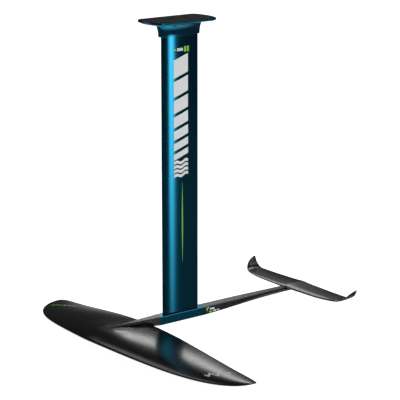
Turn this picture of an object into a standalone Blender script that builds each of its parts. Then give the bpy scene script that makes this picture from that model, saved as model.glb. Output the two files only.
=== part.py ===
"""Hydrofoil set: an alloy mast on a board plate, a fuselage, a front wing and a tail wing.

Metres. +Z is up, -Y is forward and +X is to port. The origin is on the face that
the board rests on, in line with the middle of the mast's chord.
"""

import math

import bmesh
import bpy
from mathutils import Vector

# --- Driving dimensions ---------------------------------------------------------------
GAP = 0.0003                 # clearance left between pieces that touch
OVERSHOOT = 0.01             # how far a cutter runs past the face it cuts

MAST_LENGTH = 0.850          # board face to fuselage top
MAST_CHORD = 0.1275
MAST_THICKNESS = 0.019
MAST_TAIL = 0.0012           # thickness left at the trailing edge
MAST_NOSE = 0.38             # share of the chord where the elliptic nose ends
MAST_TAPER = 1.8             # power of the curve that thins the rest
MAST_WALL = 0.0024
MAST_CHANNELS = ((-0.0510, -0.0430), (-0.0405, 0.0320), (0.0345, 0.0455))
GASKET_THICKNESS = 0.0026
GASKET_SHRINK = (0.90, 0.985)     # gasket width and length over the mast's

PAD_THICKNESS = 0.0015
PAD_INSET = 0.0012           # how far the pad stays inside the plate's outline
PLATE_HALF_WIDTH = 0.0545
PLATE_FRONT = -0.1160
PLATE_REAR = 0.1010
PLATE_END_SAG = 0.0110       # how far the rounded ends fall back at the corners
PLATE_CORNER = 0.0120
PLATE_BOTTOM = -0.0092
PLATE_CHAMFER = 0.0032
SLOT_SPACING = (0.0900, 0.1650)
SLOT_SIZE = (0.0086, 0.0160)

COLLAR_BOTTOM = -0.0475
COLLAR_WALL = 0.0056
COLLAR_SHIFT = -0.0022       # the collar stands a little further forward than the mast
COLLAR_FLARE = (0.0460, 0.0830)   # half width and half length where it meets the plate
COLLAR_OVERLAP = 0.0012      # how far the collar runs into the plate
SOCKET_TOP = -0.0150
PLUG_LENGTH = 0.0600

FUSELAGE_TOP = -MAST_LENGTH
FUSELAGE_HALF_WIDTH = 0.0162
FUSELAGE_HEIGHT = 0.0255
FUSELAGE_EDGE = 0.0018       # chamfer along the top edges
FOOT_EDGE = 0.6 * FUSELAGE_EDGE
KEEL_EDGE = 0.0020           # chamfer along the keel edges
FOOT_HALF_LENGTH = 0.0790
TONGUE_FRONT = -0.2520
TONGUE_NOSE_HEIGHT = 0.0058
TONGUE_NOSE = (0.0022, 0.0006, 0.0012)   # half widths at the nose: over all, top flat, keel
TONGUE_TAPER = 2.2           # power of the curve that narrows the tongue
TONGUE_EDGE_SLOPE = 0.45     # fall of the tongue's top facets over their width
SPIGOT_SIZE = (0.0144, 0.0104)
SPIGOT_DROP = 0.0115         # spigot axis below the fuselage top
SPIGOT_REACH = 0.0315        # length held in each part

BOOM_SHOULDER = 0.3880       # where the tail wing's seat starts
BOOM_END = 0.4580
BOOM_TAIL_HALF_WIDTH = 0.0105
BOOM_TAIL_HEIGHT = 0.0158
BOOM_TAIL_WAIST = 0.0078     # depth of the widest line below the top, at the tail end
BOOM_TAIL_KEEL = 0.0052      # half width of the keel at the tail end
BOOM_SWEEP = 1.5             # power of the curve that lifts the keel
SEAT_DROP = 0.0085

WING_HALF_SPAN = 0.4666
WING_TIP_Y = -0.1083
WING_ROOT_LEADING = -0.3288
WING_ROOT_TRAILING = -0.1010
WING_ROOT_DROP = 0.0180      # root leading edge below the fuselage top
WING_WASHOUT = 0.0062        # trailing edge below the leading edge at the root
WING_THICKNESS = 0.119       # of the chord
WING_TIP_THICKNESS = 0.78    # of the root's share
WING_LEADING_POWERS = (1.685, 2.054)     # superellipse of the leading edge
WING_TRAILING_POWERS = (6.6, 3.3)        # and of the trailing edge's tips
WING_SWEEP = (0.0080, 0.0160)            # trailing edge, squared and fourth-power terms
WING_DROOP = (0.0687, -0.0243)           # fall towards the tips, the same two terms
WING_CAMBER = 0.0227
SADDLE_LIP = 0.0052          # how far the wing's saddle rises round the tongue
SADDLE_HALF_WIDTH = 0.017
SADDLE_BLEND = 0.040         # width over which the saddle fades into the wing
SADDLE_TOP = 0.0010          # highest part of the saddle, below the fuselage top
RECESS_REAR = -0.0850        # where the cutter for the tongue's pocket starts

TAIL_HALF_SPAN = 0.2360
TAIL_BEND_START = 0.1960
TAIL_BEND_RADIUS = 0.0395
TAIL_BEND_ANGLE = math.radians(68.0)
TAIL_TRAILING = 0.4769
TAIL_CHORD = 0.0788
TAIL_THICKNESS = 0.115
TAIL_TIP_POWERS = (4.05, 1.70)           # superellipse of the leading edge
TAIL_NOTCH = (0.0048, 0.10)  # depth and half width of the hollow in the trailing edge
TAIL_RIDGE = 0.148           # half width of the ridge over the centre
TAIL_RIDGE_RISE = (0.0019, 0.0065)       # its height at the leading and trailing edge
TAIL_DROP = (0.0038, 0.0040)             # chord line's two ends below the fuselage top
TAIL_FOOT_CLEARANCE = 0.0004
TAIL_FOOT_TAPER = (0.72, 0.62)           # width and length left at the foot's top

HEAD_SCREWS_Y = {"front": -0.0300, "rear": 0.0220}
WING_SCREWS_Y = {"front": -0.2150, "middle": -0.1820, "rear": -0.1490}
JOIN_SCREWS_Y = {"tongue": -0.0868, "foot_front": -0.0640, "foot_rear": 0.0640, "boom": 0.0940}
TAIL_SCREWS_Y = {"front": 0.4080, "rear": 0.4400}

# Countersunk socket screws: shank radius, head radius, socket width across flats
M5 = (0.0025, 0.0047, 0.0030)
M6 = (0.0030, 0.0058, 0.0040)
SCREW_SIDES = 16
SCREW_END = 0.001            # room left past a screw's tip
RIM = 0.0004                 # straight rim of a countersunk head
CAP_RECESS = 0.0004          # how far a screw head sits below its face
SOCKET_DEPTH = 0.8           # of the cone's height
HEAD_SCREW_LENGTH = 0.0580
FOOT_SCREW_LENGTH = 0.0700
JOIN_HOLE = 0.012
TAIL_HOLE = 0.020
WING_SCREW_BITE = 0.72       # depth of the tapped hole over the tongue's height
PAD_HOLE_MARGIN = 0.0012

# Steel ferrules in the front wing's lower skin
FERRULE_RADIUS = 0.0080
FERRULE_SHANK = 0.0050
FERRULE_FLANGE = 0.0038
FERRULE_LENGTH = 0.0060
FERRULE_INSET = 0.0008       # how far the rim sits inside the skin

# Brass inserts in the tail wing's foot
INSERT_RADIUS = 0.0042
INSERT_HEIGHT = 0.0055


# --- Helpers --------------------------------------------------------------------------
def clear_scene():
    for old in list(bpy.data.objects):
        bpy.data.objects.remove(old, do_unlink=True)


def material(name, color, roughness, metallic):
    made = bpy.data.materials.get(name)
    if made is None:
        made = bpy.data.materials.new(name)
        made.use_nodes = True
        shader = made.node_tree.nodes["Principled BSDF"]
        shader.inputs["Base Color"].default_value = (*color, 1.0)
        shader.inputs["Roughness"].default_value = roughness
        shader.inputs["Metallic"].default_value = metallic
    return made


def blue_anodised():
    return material("blue_anodised", (0.010, 0.100, 0.170), 0.28, 1.0)


def black_anodised():
    return material("black_anodised", (0.030, 0.031, 0.033), 0.38, 0.9)


def carbon():
    return material("black_laminate", (0.016, 0.016, 0.017), 0.32, 0.0)


def black_rubber():
    return material("black_rubber", (0.020, 0.020, 0.021), 0.75, 0.0)


def stainless():
    return material("stainless", (0.560, 0.565, 0.570), 0.30, 1.0)


def brass():
    return material("brass", (0.640, 0.470, 0.190), 0.32, 1.0)


def bare_alloy():
    return material("bare_alloy", (0.700, 0.705, 0.715), 0.35, 1.0)


def add_object(name, bm, finish=None, sharp_angle=math.radians(32.0)):
    bmesh.ops.recalc_face_normals(bm, faces=bm.faces)
    mesh = bpy.data.meshes.new(name)
    bm.to_mesh(mesh)
    bm.free()
    mesh.shade_smooth()
    mesh.set_sharp_from_angle(angle=sharp_angle)
    made = bpy.data.objects.new(name, mesh)
    bpy.context.collection.objects.link(made)
    if finish is not None:
        mesh.materials.append(finish)
    return made


def loft(name, rings, finish=None, **options):
    """Skin a closed body over rings of points that all have the same count."""
    bm = bmesh.new()
    loops = [[bm.verts.new(point) for point in ring] for ring in rings]
    count = len(loops[0])
    for low, high in zip(loops, loops[1:]):
        for i in range(count):
            j = (i + 1) % count
            bm.faces.new((low[i], low[j], high[j], high[i]))
    bm.faces.new(loops[0])
    bm.faces.new(loops[-1])
    return add_object(name, bm, finish, **options)


def prism(name, outline, low, high, finish=None):
    """Extrude an (x, y) outline from z = low to z = high."""
    rings = [[(x, y, z) for x, y in outline] for z in (low, high)]
    return loft(name, rings, finish)


def block(name, low, high, finish=None):
    outline = [(low[0], low[1]), (high[0], low[1]), (high[0], high[1]), (low[0], high[1])]
    return prism(name, outline, low[2], high[2], finish)


def boolean(target, tool, operation):
    """Keep the tool as a hidden guide and apply it to the target as a modifier."""
    tool.hide_render = True
    tool.display_type = "WIRE"
    step = target.modifiers.new(f"{operation.lower()}_{tool.name}", "BOOLEAN")
    step.operation = operation
    step.solver = "EXACT"
    step.object = tool


def cut(target, tool):
    boolean(target, tool, "DIFFERENCE")


def join(target, tool):
    boolean(target, tool, "UNION")


def smooth(t):
    t = min(max(t, 0.0), 1.0)
    return t * t * (3.0 - 2.0 * t)


def mix(a, b, t):
    return a + (b - a) * t


def offset_outline(outline, distance):
    """Move a closed convex outline outwards by a distance, or inwards if negative."""
    count = len(outline)
    area = sum(outline[i - 1][0] * outline[i][1] - outline[i][0] * outline[i - 1][1] for i in range(count))
    turn = 1.0 if area > 0.0 else -1.0
    moved = []
    for i in range(count):
        here = Vector(outline[i])
        before = (here - Vector(outline[i - 1])).normalized()
        after = (Vector(outline[(i + 1) % count]) - here).normalized()
        normals = [Vector((edge.y, -edge.x)) * turn for edge in (before, after)]
        middle = (normals[0] + normals[1]).normalized()
        reach = distance / max(middle.dot(normals[0]), 0.5)
        moved.append(tuple(here + middle * reach))
    return moved


# --- Foil shapes ----------------------------------------------------------------------
def mast_half_thickness(y):
    """Half thickness of the mast: an elliptic nose, then a long fair taper."""
    u = (y + MAST_CHORD / 2) / MAST_CHORD
    if u < MAST_NOSE:
        return MAST_THICKNESS * math.sqrt(max(1.0 - (1.0 - u / MAST_NOSE) ** 2, 0.0)) / 2
    shape = 1.0 - ((u - MAST_NOSE) / (1.0 - MAST_NOSE)) ** MAST_TAPER
    return mix(MAST_TAIL, MAST_THICKNESS, shape) / 2


def mast_outline(steps=26):
    """Round the section from the trailing edge over the port side and back."""
    stations = [(1.0 + math.cos(math.pi * i / steps)) / 2 for i in range(steps + 1)]
    ys = [MAST_CHORD * (u - 0.5) for u in stations]
    port = [(mast_half_thickness(y), y) for y in ys]
    starboard = [(-x, y) for x, y in reversed(port[:-1])]
    return port + starboard


def channel_outline(front, rear, inset=0.0, steps=8):
    """The hollow between two webs, kept one wall inside the mast's skin."""
    ys = [mix(front + inset, rear - inset, i / steps) for i in range(steps + 1)]
    port = [(mast_half_thickness(y) - MAST_WALL - inset, y) for y in ys]
    return port + [(-x, y) for x, y in reversed(port)]


def foil_half_thickness(u):
    """Half thickness of a wing section per unit chord and unit thickness."""
    return 5.0 * (0.2969 * math.sqrt(u) - 0.1260 * u - 0.3516 * u**2 + 0.2843 * u**3 - 0.1015 * u**4)


def foil_stations(steps):
    return [(1.0 - math.cos(math.pi * i / steps)) / 2 for i in range(steps + 1)]


# --- Screws ---------------------------------------------------------------------------
def turned(name, profile, centre, up, finish=None, sides=SCREW_SIDES):
    """Turn (radius, depth) pairs about a vertical line; depth runs away from the head."""
    rings = []
    for radius, depth in profile:
        z = centre[2] - depth if up else centre[2] + depth
        ring = []
        for i in range(sides):
            angle = 2.0 * math.pi * i / sides
            ring.append((centre[0] + radius * math.cos(angle), centre[1] + radius * math.sin(angle), z))
        rings.append(ring)
    return loft(name, rings, finish)


def screw(name, size, y, face_z, length, up):
    """A countersunk socket screw whose head sits just below the face at face_z."""
    shank, head, flats = size
    head_z = face_z - CAP_RECESS if up else face_z + CAP_RECESS
    cone = head - shank
    tip = shank * 0.4
    profile = [(head, 0.0), (head, RIM), (shank, RIM + cone), (shank, length - tip), (shank - tip, length)]
    made = turned(name, profile, (0.0, y, head_z), up, stainless())
    socket_radius = flats / math.sqrt(3.0)
    socket_depth = cone * SOCKET_DEPTH
    socket = turned(f"{name}_socket", [(socket_radius, -OVERSHOOT), (socket_radius, socket_depth)],
                    (0.0, y, head_z), up, sides=6)
    cut(made, socket)
    return made


def screw_hole(target, size, y, face_z, length, up):
    """Cut the countersunk hole that one screw stands in, one gap wider all round."""
    shank, head, _ = size
    head_z = face_z - CAP_RECESS if up else face_z + CAP_RECESS
    cone = head - shank
    rim = head + GAP
    wall = shank + GAP
    profile = [(rim, -OVERSHOOT), (rim, RIM + GAP), (wall, RIM + cone + GAP), (wall, length + GAP)]
    tool = turned(f"{target.name}_hole_{y:+.3f}", profile, (0.0, y, head_z), up)
    cut(target, tool)


def drill(target, radius, y, low, high):
    tool = turned(f"{target.name}_bore_{y:+.3f}", [(radius, 0.0), (radius, high - low)], (0.0, y, low), False)
    cut(target, tool)


# --- Mast head and board face ---------------------------------------------------------
def arc_end(y_end, sag, half_width, steps=8):
    """Points across a gently rounded plate end, from starboard to port."""
    points = []
    for i in range(steps + 1):
        x = mix(-half_width, half_width, i / steps)
        points.append((x, y_end - math.copysign(sag, y_end) * (x / half_width) ** 2))
    return points


def plate_outline(inset=0.0):
    half = PLATE_HALF_WIDTH - inset
    front = PLATE_FRONT + inset
    rear = PLATE_REAR - inset
    inner = half - PLATE_CORNER
    sag = PLATE_END_SAG * (inner / half) ** 2
    reach = PLATE_CORNER * 1.3
    port_front = corner(inner, front + sag, half, front + sag + reach)
    port_rear = corner(inner, rear - sag, half, rear - sag - reach)
    outline = arc_end(front, sag, inner) + port_front + port_rear[::-1]
    outline += arc_end(rear, sag, inner)[::-1]
    outline += [(-x, y) for x, y in port_rear]
    outline += [(-x, y) for x, y in reversed(port_front)]
    return outline


def corner(x0, y0, x1, y1, steps=5):
    """An elliptic corner that leaves (x0, y0) along X and reaches (x1, y1) along Y."""
    points = []
    for i in range(1, steps + 1):
        angle = math.pi / 2 * i / steps
        points.append((mix(x0, x1, math.sin(angle)), mix(y1, y0, math.cos(angle))))
    return points


def slot_centres():
    middle = (PLATE_FRONT + PLATE_REAR) / 2
    half_x, half_y = SLOT_SPACING[0] / 2, SLOT_SPACING[1] / 2
    return [(sx * half_x, middle + sy * half_y) for sy in (-1, 1) for sx in (-1, 1)]


def slot_outline(centre, steps=6):
    radius = SLOT_SIZE[0] / 2
    straight = SLOT_SIZE[1] / 2 - radius
    points = []
    for end, start in ((1, 0.0), (-1, math.pi)):
        for i in range(steps + 1):
            angle = start + math.pi * i / steps
            x = centre[0] + radius * math.cos(angle)
            points.append((x, centre[1] + end * straight + radius * math.sin(angle)))
    return points


def cut_slots(target):
    for number, centre in enumerate(slot_centres()):
        name = f"{target.name}_slot_{number}"
        cut(target, prism(name, slot_outline(centre), PLATE_BOTTOM - OVERSHOOT, OVERSHOOT))


def collar_ring(t):
    """One ring of the flared collar: the mast's foil at t = 0, a broad oval at t = 1."""
    flare = 1.0 - math.sqrt(max(1.0 - t * t, 0.0))
    z = mix(COLLAR_BOTTOM, PLATE_BOTTOM + COLLAR_OVERLAP, t)
    outer = [(x, y + COLLAR_SHIFT) for x, y in offset_outline(mast_outline(22), COLLAR_WALL)]
    half_width, half_length = COLLAR_FLARE
    ring = []
    for x, y in outer:
        angle = math.atan2(x / MAST_THICKNESS, y / MAST_CHORD)
        oval = (half_width * math.sin(angle), half_length * math.cos(angle) + COLLAR_SHIFT)
        ring.append((mix(x, oval[0], flare), mix(y, oval[1], flare), z))
    return ring


def build_head():
    low, mid, high = PLATE_BOTTOM, PLATE_BOTTOM + PLATE_CHAMFER, -PAD_THICKNESS - GAP
    rings = [[(x, y, low) for x, y in plate_outline(PLATE_CHAMFER)]]
    rings += [[(x, y, z) for x, y in plate_outline()] for z in (mid, high)]
    head = loft("mast_head", rings, blue_anodised())
    steps = 9
    heights = [math.sin(math.pi / 2 * i / steps) for i in range(steps + 1)]
    join(head, loft("mast_head_collar", [collar_ring(t) for t in heights]))
    cavity = offset_outline(mast_outline(), GAP)
    cut(head, prism("mast_head_socket", cavity, COLLAR_BOTTOM - OVERSHOOT, SOCKET_TOP))
    cut_slots(head)
    for y in HEAD_SCREWS_Y.values():
        screw_hole(head, M6, y, high, -SOCKET_TOP + OVERSHOOT, True)


def build_pad():
    pad = prism("board_pad", plate_outline(PAD_INSET), -PAD_THICKNESS, 0.0, black_rubber())
    cut_slots(pad)
    for y in HEAD_SCREWS_Y.values():
        drill(pad, M6[1] + PAD_HOLE_MARGIN, y, -OVERSHOOT, OVERSHOOT)


# --- Mast -----------------------------------------------------------------------------
def build_mast():
    low = FUSELAGE_TOP + GASKET_THICKNESS + 2 * GAP
    high = SOCKET_TOP - GAP
    mast = prism("mast", mast_outline(), low, high, blue_anodised())
    for number, (front, rear) in enumerate(MAST_CHANNELS):
        outline = channel_outline(front, rear)
        cut(mast, prism(f"mast_channel_{number}", outline, low - OVERSHOOT, high + OVERSHOOT))
    build_plug("head_plug", high - PLUG_LENGTH, high)
    build_plug("foot_plug", low, low + PLUG_LENGTH)


def build_plug(name, low, high):
    """A tapped block that fills the mast's middle channel at one end."""
    front, rear = MAST_CHANNELS[1]
    plug = prism(name, channel_outline(front, rear, GAP), low, high, bare_alloy())
    for y in HEAD_SCREWS_Y.values():
        drill(plug, M6[0] + GAP, y, low - OVERSHOOT, high + OVERSHOOT)


def build_gasket():
    low = FUSELAGE_TOP + GAP
    outline = [(x * GASKET_SHRINK[0], y * GASKET_SHRINK[1]) for x, y in mast_outline()]
    gasket = prism("foot_gasket", outline, low, low + GASKET_THICKNESS, black_rubber())
    for y in HEAD_SCREWS_Y.values():
        drill(gasket, M6[0] + 2 * GAP, y, low - OVERSHOOT, low + OVERSHOOT)


# --- Fuselage -------------------------------------------------------------------------
def fuselage_ring(y, top, half, edge, waist, keel_half, keel):
    """A bar section: chamfered top edges, upright sides, then sides that cut in to the keel."""
    side = [(half - edge, top), (half, top - edge), (half, waist), (keel_half, keel)]
    return [(x, y, z) for x, z in side] + [(-x, y, z) for x, z in reversed(side)]


def tongue_station(y):
    """0 where the tongue meets the mast foot, 1 at its nose."""
    return (y + FOOT_HALF_LENGTH) / (TONGUE_FRONT + FOOT_HALF_LENGTH)


def tongue_floor(y):
    """Height of the tongue's underside, which the wing's saddle follows."""
    return FUSELAGE_TOP - mix(FUSELAGE_HEIGHT, TONGUE_NOSE_HEIGHT, tongue_station(y))


def tongue_ring(y, grow=0.0, top=FUSELAGE_TOP):
    """The full bar section turns into a low blade with sloping top facets."""
    t = tongue_station(y)
    nose_half, nose_flat, nose_keel = TONGUE_NOSE
    half = mix(FUSELAGE_HALF_WIDTH, nose_half, t**TONGUE_TAPER) + grow
    flat = mix(FUSELAGE_HALF_WIDTH - FUSELAGE_EDGE, nose_flat, t)
    edge = half - grow - flat
    keel = tongue_floor(y) - grow
    drop = mix(FUSELAGE_HEIGHT - KEEL_EDGE, FUSELAGE_EDGE + 0.0022, smooth(t / 0.36))
    waist = max(FUSELAGE_TOP - drop, keel + grow + 0.0008)
    keel_half = mix(FUSELAGE_HALF_WIDTH - KEEL_EDGE, nose_keel, smooth(t)) + grow
    shoulder = min(top, FUSELAGE_TOP) - edge * TONGUE_EDGE_SLOPE
    side = [(flat + grow, top), (half, shoulder), (half, waist), (keel_half, keel)]
    return [(x, y, z) for x, z in side] + [(-x, y, z) for x, z in reversed(side)]


def build_tongue():
    start = -FOOT_HALF_LENGTH - GAP
    steps = 14
    rings = [tongue_ring(mix(start, TONGUE_FRONT, i / steps)) for i in range(steps + 1)]
    tongue = loft("front_fuselage", rings, black_anodised(), sharp_angle=math.radians(12.0))
    cut_spigot_socket(tongue, -1)
    join_y = JOIN_SCREWS_Y["tongue"]
    screw_hole(tongue, M5, join_y, tongue_floor(join_y), JOIN_HOLE, False)
    for y in WING_SCREWS_Y.values():
        drill(tongue, M6[0] + GAP, y, tongue_floor(y) - OVERSHOOT, wing_hole_end(y))


def wing_hole_end(y):
    """Where a wing screw's hole stops, inside the tongue."""
    floor = tongue_floor(y)
    return floor + (FUSELAGE_TOP - floor) * WING_SCREW_BITE


def spigot_box(side, grow):
    half_width, half_height = SPIGOT_SIZE[0] / 2 + grow, SPIGOT_SIZE[1] / 2 + grow
    middle = FUSELAGE_TOP - SPIGOT_DROP
    ys = sorted(side * (FOOT_HALF_LENGTH + reach) for reach in (-SPIGOT_REACH - grow, SPIGOT_REACH + grow))
    return (-half_width, ys[0], middle - half_height), (half_width, ys[1], middle + half_height)


def cut_spigot_socket(target, side):
    cut(target, block(f"{target.name}_spigot_socket_{side}", *spigot_box(side, GAP)))


def build_spigots():
    names = {-1: ("front_spigot", ("tongue", "foot_front")), 1: ("rear_spigot", ("boom", "foot_rear"))}
    for side, (name, screws) in names.items():
        spigot = block(name, *spigot_box(side, 0.0), bare_alloy())
        low, high = spigot_box(side, OVERSHOOT)
        for key in screws:
            drill(spigot, M5[0] + GAP, JOIN_SCREWS_Y[key], low[2], high[2])


def build_foot():
    """The middle part of the fuselage, which the mast stands on."""
    keel = FUSELAGE_TOP - FUSELAGE_HEIGHT
    rings = []
    for y in (-FOOT_HALF_LENGTH, FOOT_HALF_LENGTH):
        rings.append(fuselage_ring(y, FUSELAGE_TOP, FUSELAGE_HALF_WIDTH, FOOT_EDGE,
                                   keel + KEEL_EDGE, FUSELAGE_HALF_WIDTH - KEEL_EDGE, keel))
    foot = loft("mast_foot", rings, blue_anodised())
    for side in (-1, 1):
        cut_spigot_socket(foot, side)
    for y in HEAD_SCREWS_Y.values():
        screw_hole(foot, M6, y, keel, FUSELAGE_HEIGHT + OVERSHOOT, False)
    for key in ("foot_front", "foot_rear"):
        screw_hole(foot, M5, JOIN_SCREWS_Y[key], keel, JOIN_HOLE, False)


def boom_station(y):
    """0 where the boom meets the mast foot, 1 at the shoulder before the tail wing."""
    return (y - FOOT_HALF_LENGTH) / (BOOM_SHOULDER - FOOT_HALF_LENGTH)


def boom_keel(y):
    left = max(1.0 - boom_station(y), 0.0)
    return FUSELAGE_TOP - mix(BOOM_TAIL_HEIGHT, FUSELAGE_HEIGHT, left**BOOM_SWEEP)


def boom_ring(y):
    """The full bar section turns into a slim one whose sides fold in below the waist."""
    t = boom_station(y)
    keel = boom_keel(y)
    half = mix(FUSELAGE_HALF_WIDTH, BOOM_TAIL_HALF_WIDTH, smooth((t - 0.30) / 0.70))
    waist = mix(keel + KEEL_EDGE, FUSELAGE_TOP - BOOM_TAIL_WAIST, smooth((t - 0.15) / 0.65))
    keel_half = mix(FUSELAGE_HALF_WIDTH - KEEL_EDGE, BOOM_TAIL_KEEL, smooth((t - 0.15) / 0.75))
    return fuselage_ring(y, FUSELAGE_TOP, half, FUSELAGE_EDGE, waist, keel_half, keel)


def build_boom():
    start = FOOT_HALF_LENGTH + GAP
    steps = 18
    rings = [boom_ring(mix(start, BOOM_END, i / steps)) for i in range(steps + 1)]
    boom = loft("rear_fuselage", rings, black_anodised(), sharp_angle=math.radians(12.0))
    seat_low = (-FUSELAGE_HALF_WIDTH - OVERSHOOT, BOOM_SHOULDER, FUSELAGE_TOP - SEAT_DROP)
    seat_high = (FUSELAGE_HALF_WIDTH + OVERSHOOT, BOOM_END + OVERSHOOT, FUSELAGE_TOP + OVERSHOOT)
    cut(boom, block("rear_fuselage_seat", seat_low, seat_high))
    cut_spigot_socket(boom, 1)
    join_y = JOIN_SCREWS_Y["boom"]
    screw_hole(boom, M5, join_y, boom_keel(join_y), JOIN_HOLE, False)
    for y in TAIL_SCREWS_Y.values():
        screw_hole(boom, M5, y, boom_keel(y), TAIL_HOLE, False)


# --- Front wing -----------------------------------------------------------------------
def wing_edges(x):
    """Leading and trailing edge Y, and the chord line's two heights, at a span station."""
    t = min(abs(x) / WING_HALF_SPAN, 1.0)
    a, b = WING_LEADING_POWERS
    leading = mix(WING_TIP_Y, WING_ROOT_LEADING, (1.0 - t**a) ** (1 / b))
    a, b = WING_TRAILING_POWERS
    fullness = (1.0 - t**a) ** (1 / b)
    swept = WING_ROOT_TRAILING + WING_SWEEP[0] * t**2 + WING_SWEEP[1] * t**4
    trailing = mix(WING_TIP_Y, swept, fullness)
    height = FUSELAGE_TOP - WING_ROOT_DROP - WING_DROOP[0] * t**2 - WING_DROOP[1] * t**4
    return leading, trailing, height, height - WING_WASHOUT * fullness


def saddle_height(y):
    """Top of the wing's centre: it follows the tongue, then falls round its nose."""
    return min(tongue_floor(y) + SADDLE_LIP, FUSELAGE_TOP - SADDLE_TOP)


def wing_ring(x, steps):
    leading, trailing, z_leading, z_trailing = wing_edges(x)
    chord = trailing - leading
    spread = 1.0 - smooth((abs(x) - SADDLE_HALF_WIDTH) / SADDLE_BLEND)
    thin = WING_THICKNESS * mix(1.0, WING_TIP_THICKNESS, abs(x) / WING_HALF_SPAN)
    top = []
    bottom = []
    for u in foil_stations(steps):
        y = mix(leading, trailing, u)
        half = foil_half_thickness(u) * thin * chord
        middle = mix(z_leading, z_trailing, u) + 4.0 * WING_CAMBER * chord * u * (1.0 - u)
        lift = max(saddle_height(y) - (middle + half), 0.0)
        lift *= spread * smooth(u / 0.30) * (1.0 - smooth((u - 0.70) / 0.30))
        top.append((x, y, middle + half + lift))
        bottom.append((x, y, middle - half))
    return top[::-1] + bottom[1:]


def wing_stations():
    """Close stations over the saddle, then wider ones that crowd again at the tips."""
    inner = [0.0085 * i for i in range(8)]
    start = inner[-1] / WING_HALF_SPAN
    steps = 13
    first = math.asin(start)
    last = math.asin(0.9985)
    outer = [WING_HALF_SPAN * math.sin(mix(first, last, i / steps)) for i in range(1, steps + 1)]
    half = inner + outer
    return [-x for x in reversed(half[1:])] + half


def build_wing():
    wing = loft("front_wing", [wing_ring(x, 15) for x in wing_stations()], carbon())
    steps = 14
    front = TONGUE_FRONT - GAP
    high = FUSELAGE_TOP + OVERSHOOT
    rings = [tongue_ring(mix(RECESS_REAR, front, i / steps), GAP, high) for i in range(steps + 1)]
    cut(wing, loft("front_wing_recess", rings))
    for name, y in WING_SCREWS_Y.items():
        face = wing_underside(y)
        build_ferrule(wing, name, y, face)
        build_wing_screw(name, y, face)


def wing_underside(y):
    """Height of the wing's lower skin on the centre line."""
    leading, trailing, z_leading, z_trailing = wing_edges(0.0)
    chord = trailing - leading
    u = (y - leading) / chord
    middle = mix(z_leading, z_trailing, u) + 4.0 * WING_CAMBER * chord * u * (1.0 - u)
    return middle - foil_half_thickness(u) * WING_THICKNESS * chord


def build_ferrule(wing, name, y, face):
    """A stepped steel ferrule let into the wing's lower skin, which takes one screw head."""
    base = face + FERRULE_INSET
    shape = [(FERRULE_RADIUS, 0.0), (FERRULE_RADIUS, FERRULE_FLANGE), (FERRULE_SHANK, FERRULE_FLANGE),
             (FERRULE_SHANK, FERRULE_LENGTH)]
    ferrule = turned(f"wing_ferrule_{name}", shape, (0.0, y, base), False, stainless(), sides=24)
    screw_hole(ferrule, M6, y, base, FERRULE_LENGTH + OVERSHOOT, False)
    pocket = [(FERRULE_RADIUS + GAP, -OVERSHOOT), (FERRULE_RADIUS + GAP, FERRULE_FLANGE + GAP),
              (FERRULE_SHANK + GAP, FERRULE_FLANGE + GAP), (FERRULE_SHANK + GAP, FERRULE_LENGTH + GAP),
              (M6[0] + GAP, FERRULE_LENGTH + GAP), (M6[0] + GAP, FUSELAGE_TOP + OVERSHOOT - base)]
    cut(wing, turned(f"front_wing_pocket_{name}", pocket, (0.0, y, base), False, sides=24))


def build_wing_screw(name, y, face):
    base = face + FERRULE_INSET
    screw(f"wing_screw_{name}", M6, y, base, wing_hole_end(y) - SCREW_END - base, False)


# --- Tail wing ------------------------------------------------------------------------
def tail_path(s):
    """Span station s along the half wing, as (x, z, slope): flat, then bent up to the winglet."""
    if s <= TAIL_BEND_START:
        return s, 0.0, 0.0
    turned_by = min((s - TAIL_BEND_START) / TAIL_BEND_RADIUS, TAIL_BEND_ANGLE)
    x = TAIL_BEND_START + TAIL_BEND_RADIUS * math.sin(turned_by)
    z = TAIL_BEND_RADIUS * (1.0 - math.cos(turned_by))
    beyond = max(s - TAIL_BEND_START - TAIL_BEND_RADIUS * TAIL_BEND_ANGLE, 0.0)
    return x + beyond * math.cos(turned_by), z + beyond * math.sin(turned_by), turned_by


def tail_length():
    """Length along the half wing, from the centre line round to the winglet's tip."""
    x_bent = TAIL_BEND_START + TAIL_BEND_RADIUS * math.sin(TAIL_BEND_ANGLE)
    straight = (TAIL_HALF_SPAN - x_bent) / math.cos(TAIL_BEND_ANGLE)
    return TAIL_BEND_START + TAIL_BEND_RADIUS * TAIL_BEND_ANGLE + straight


def tail_ring(s, side, steps):
    t = s / tail_length()
    x, rise, slope = tail_path(s)
    a, b = TAIL_TIP_POWERS
    trailing = TAIL_TRAILING - TAIL_NOTCH[0] * (1.0 - smooth(s / TAIL_NOTCH[1]))
    leading = trailing - TAIL_CHORD * (1.0 - t**a) ** (1 / b)
    chord = trailing - leading
    peak = max(1.0 - s / TAIL_RIDGE, 0.0) ** 2
    z_leading = FUSELAGE_TOP - TAIL_DROP[0] + TAIL_RIDGE_RISE[0] * peak + rise
    z_trailing = FUSELAGE_TOP - TAIL_DROP[1] + TAIL_RIDGE_RISE[1] * peak + rise
    over = []
    under = []
    for u in foil_stations(steps):
        y = mix(leading, trailing, u)
        half = foil_half_thickness(u) * TAIL_THICKNESS * chord
        middle = mix(z_leading, z_trailing, u)
        for points, way in ((over, 1.0), (under, -1.0)):
            out = half * way
            points.append((side * (x - out * math.sin(slope)), y, middle + out * math.cos(slope)))
    return over[::-1] + under[1:]


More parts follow.
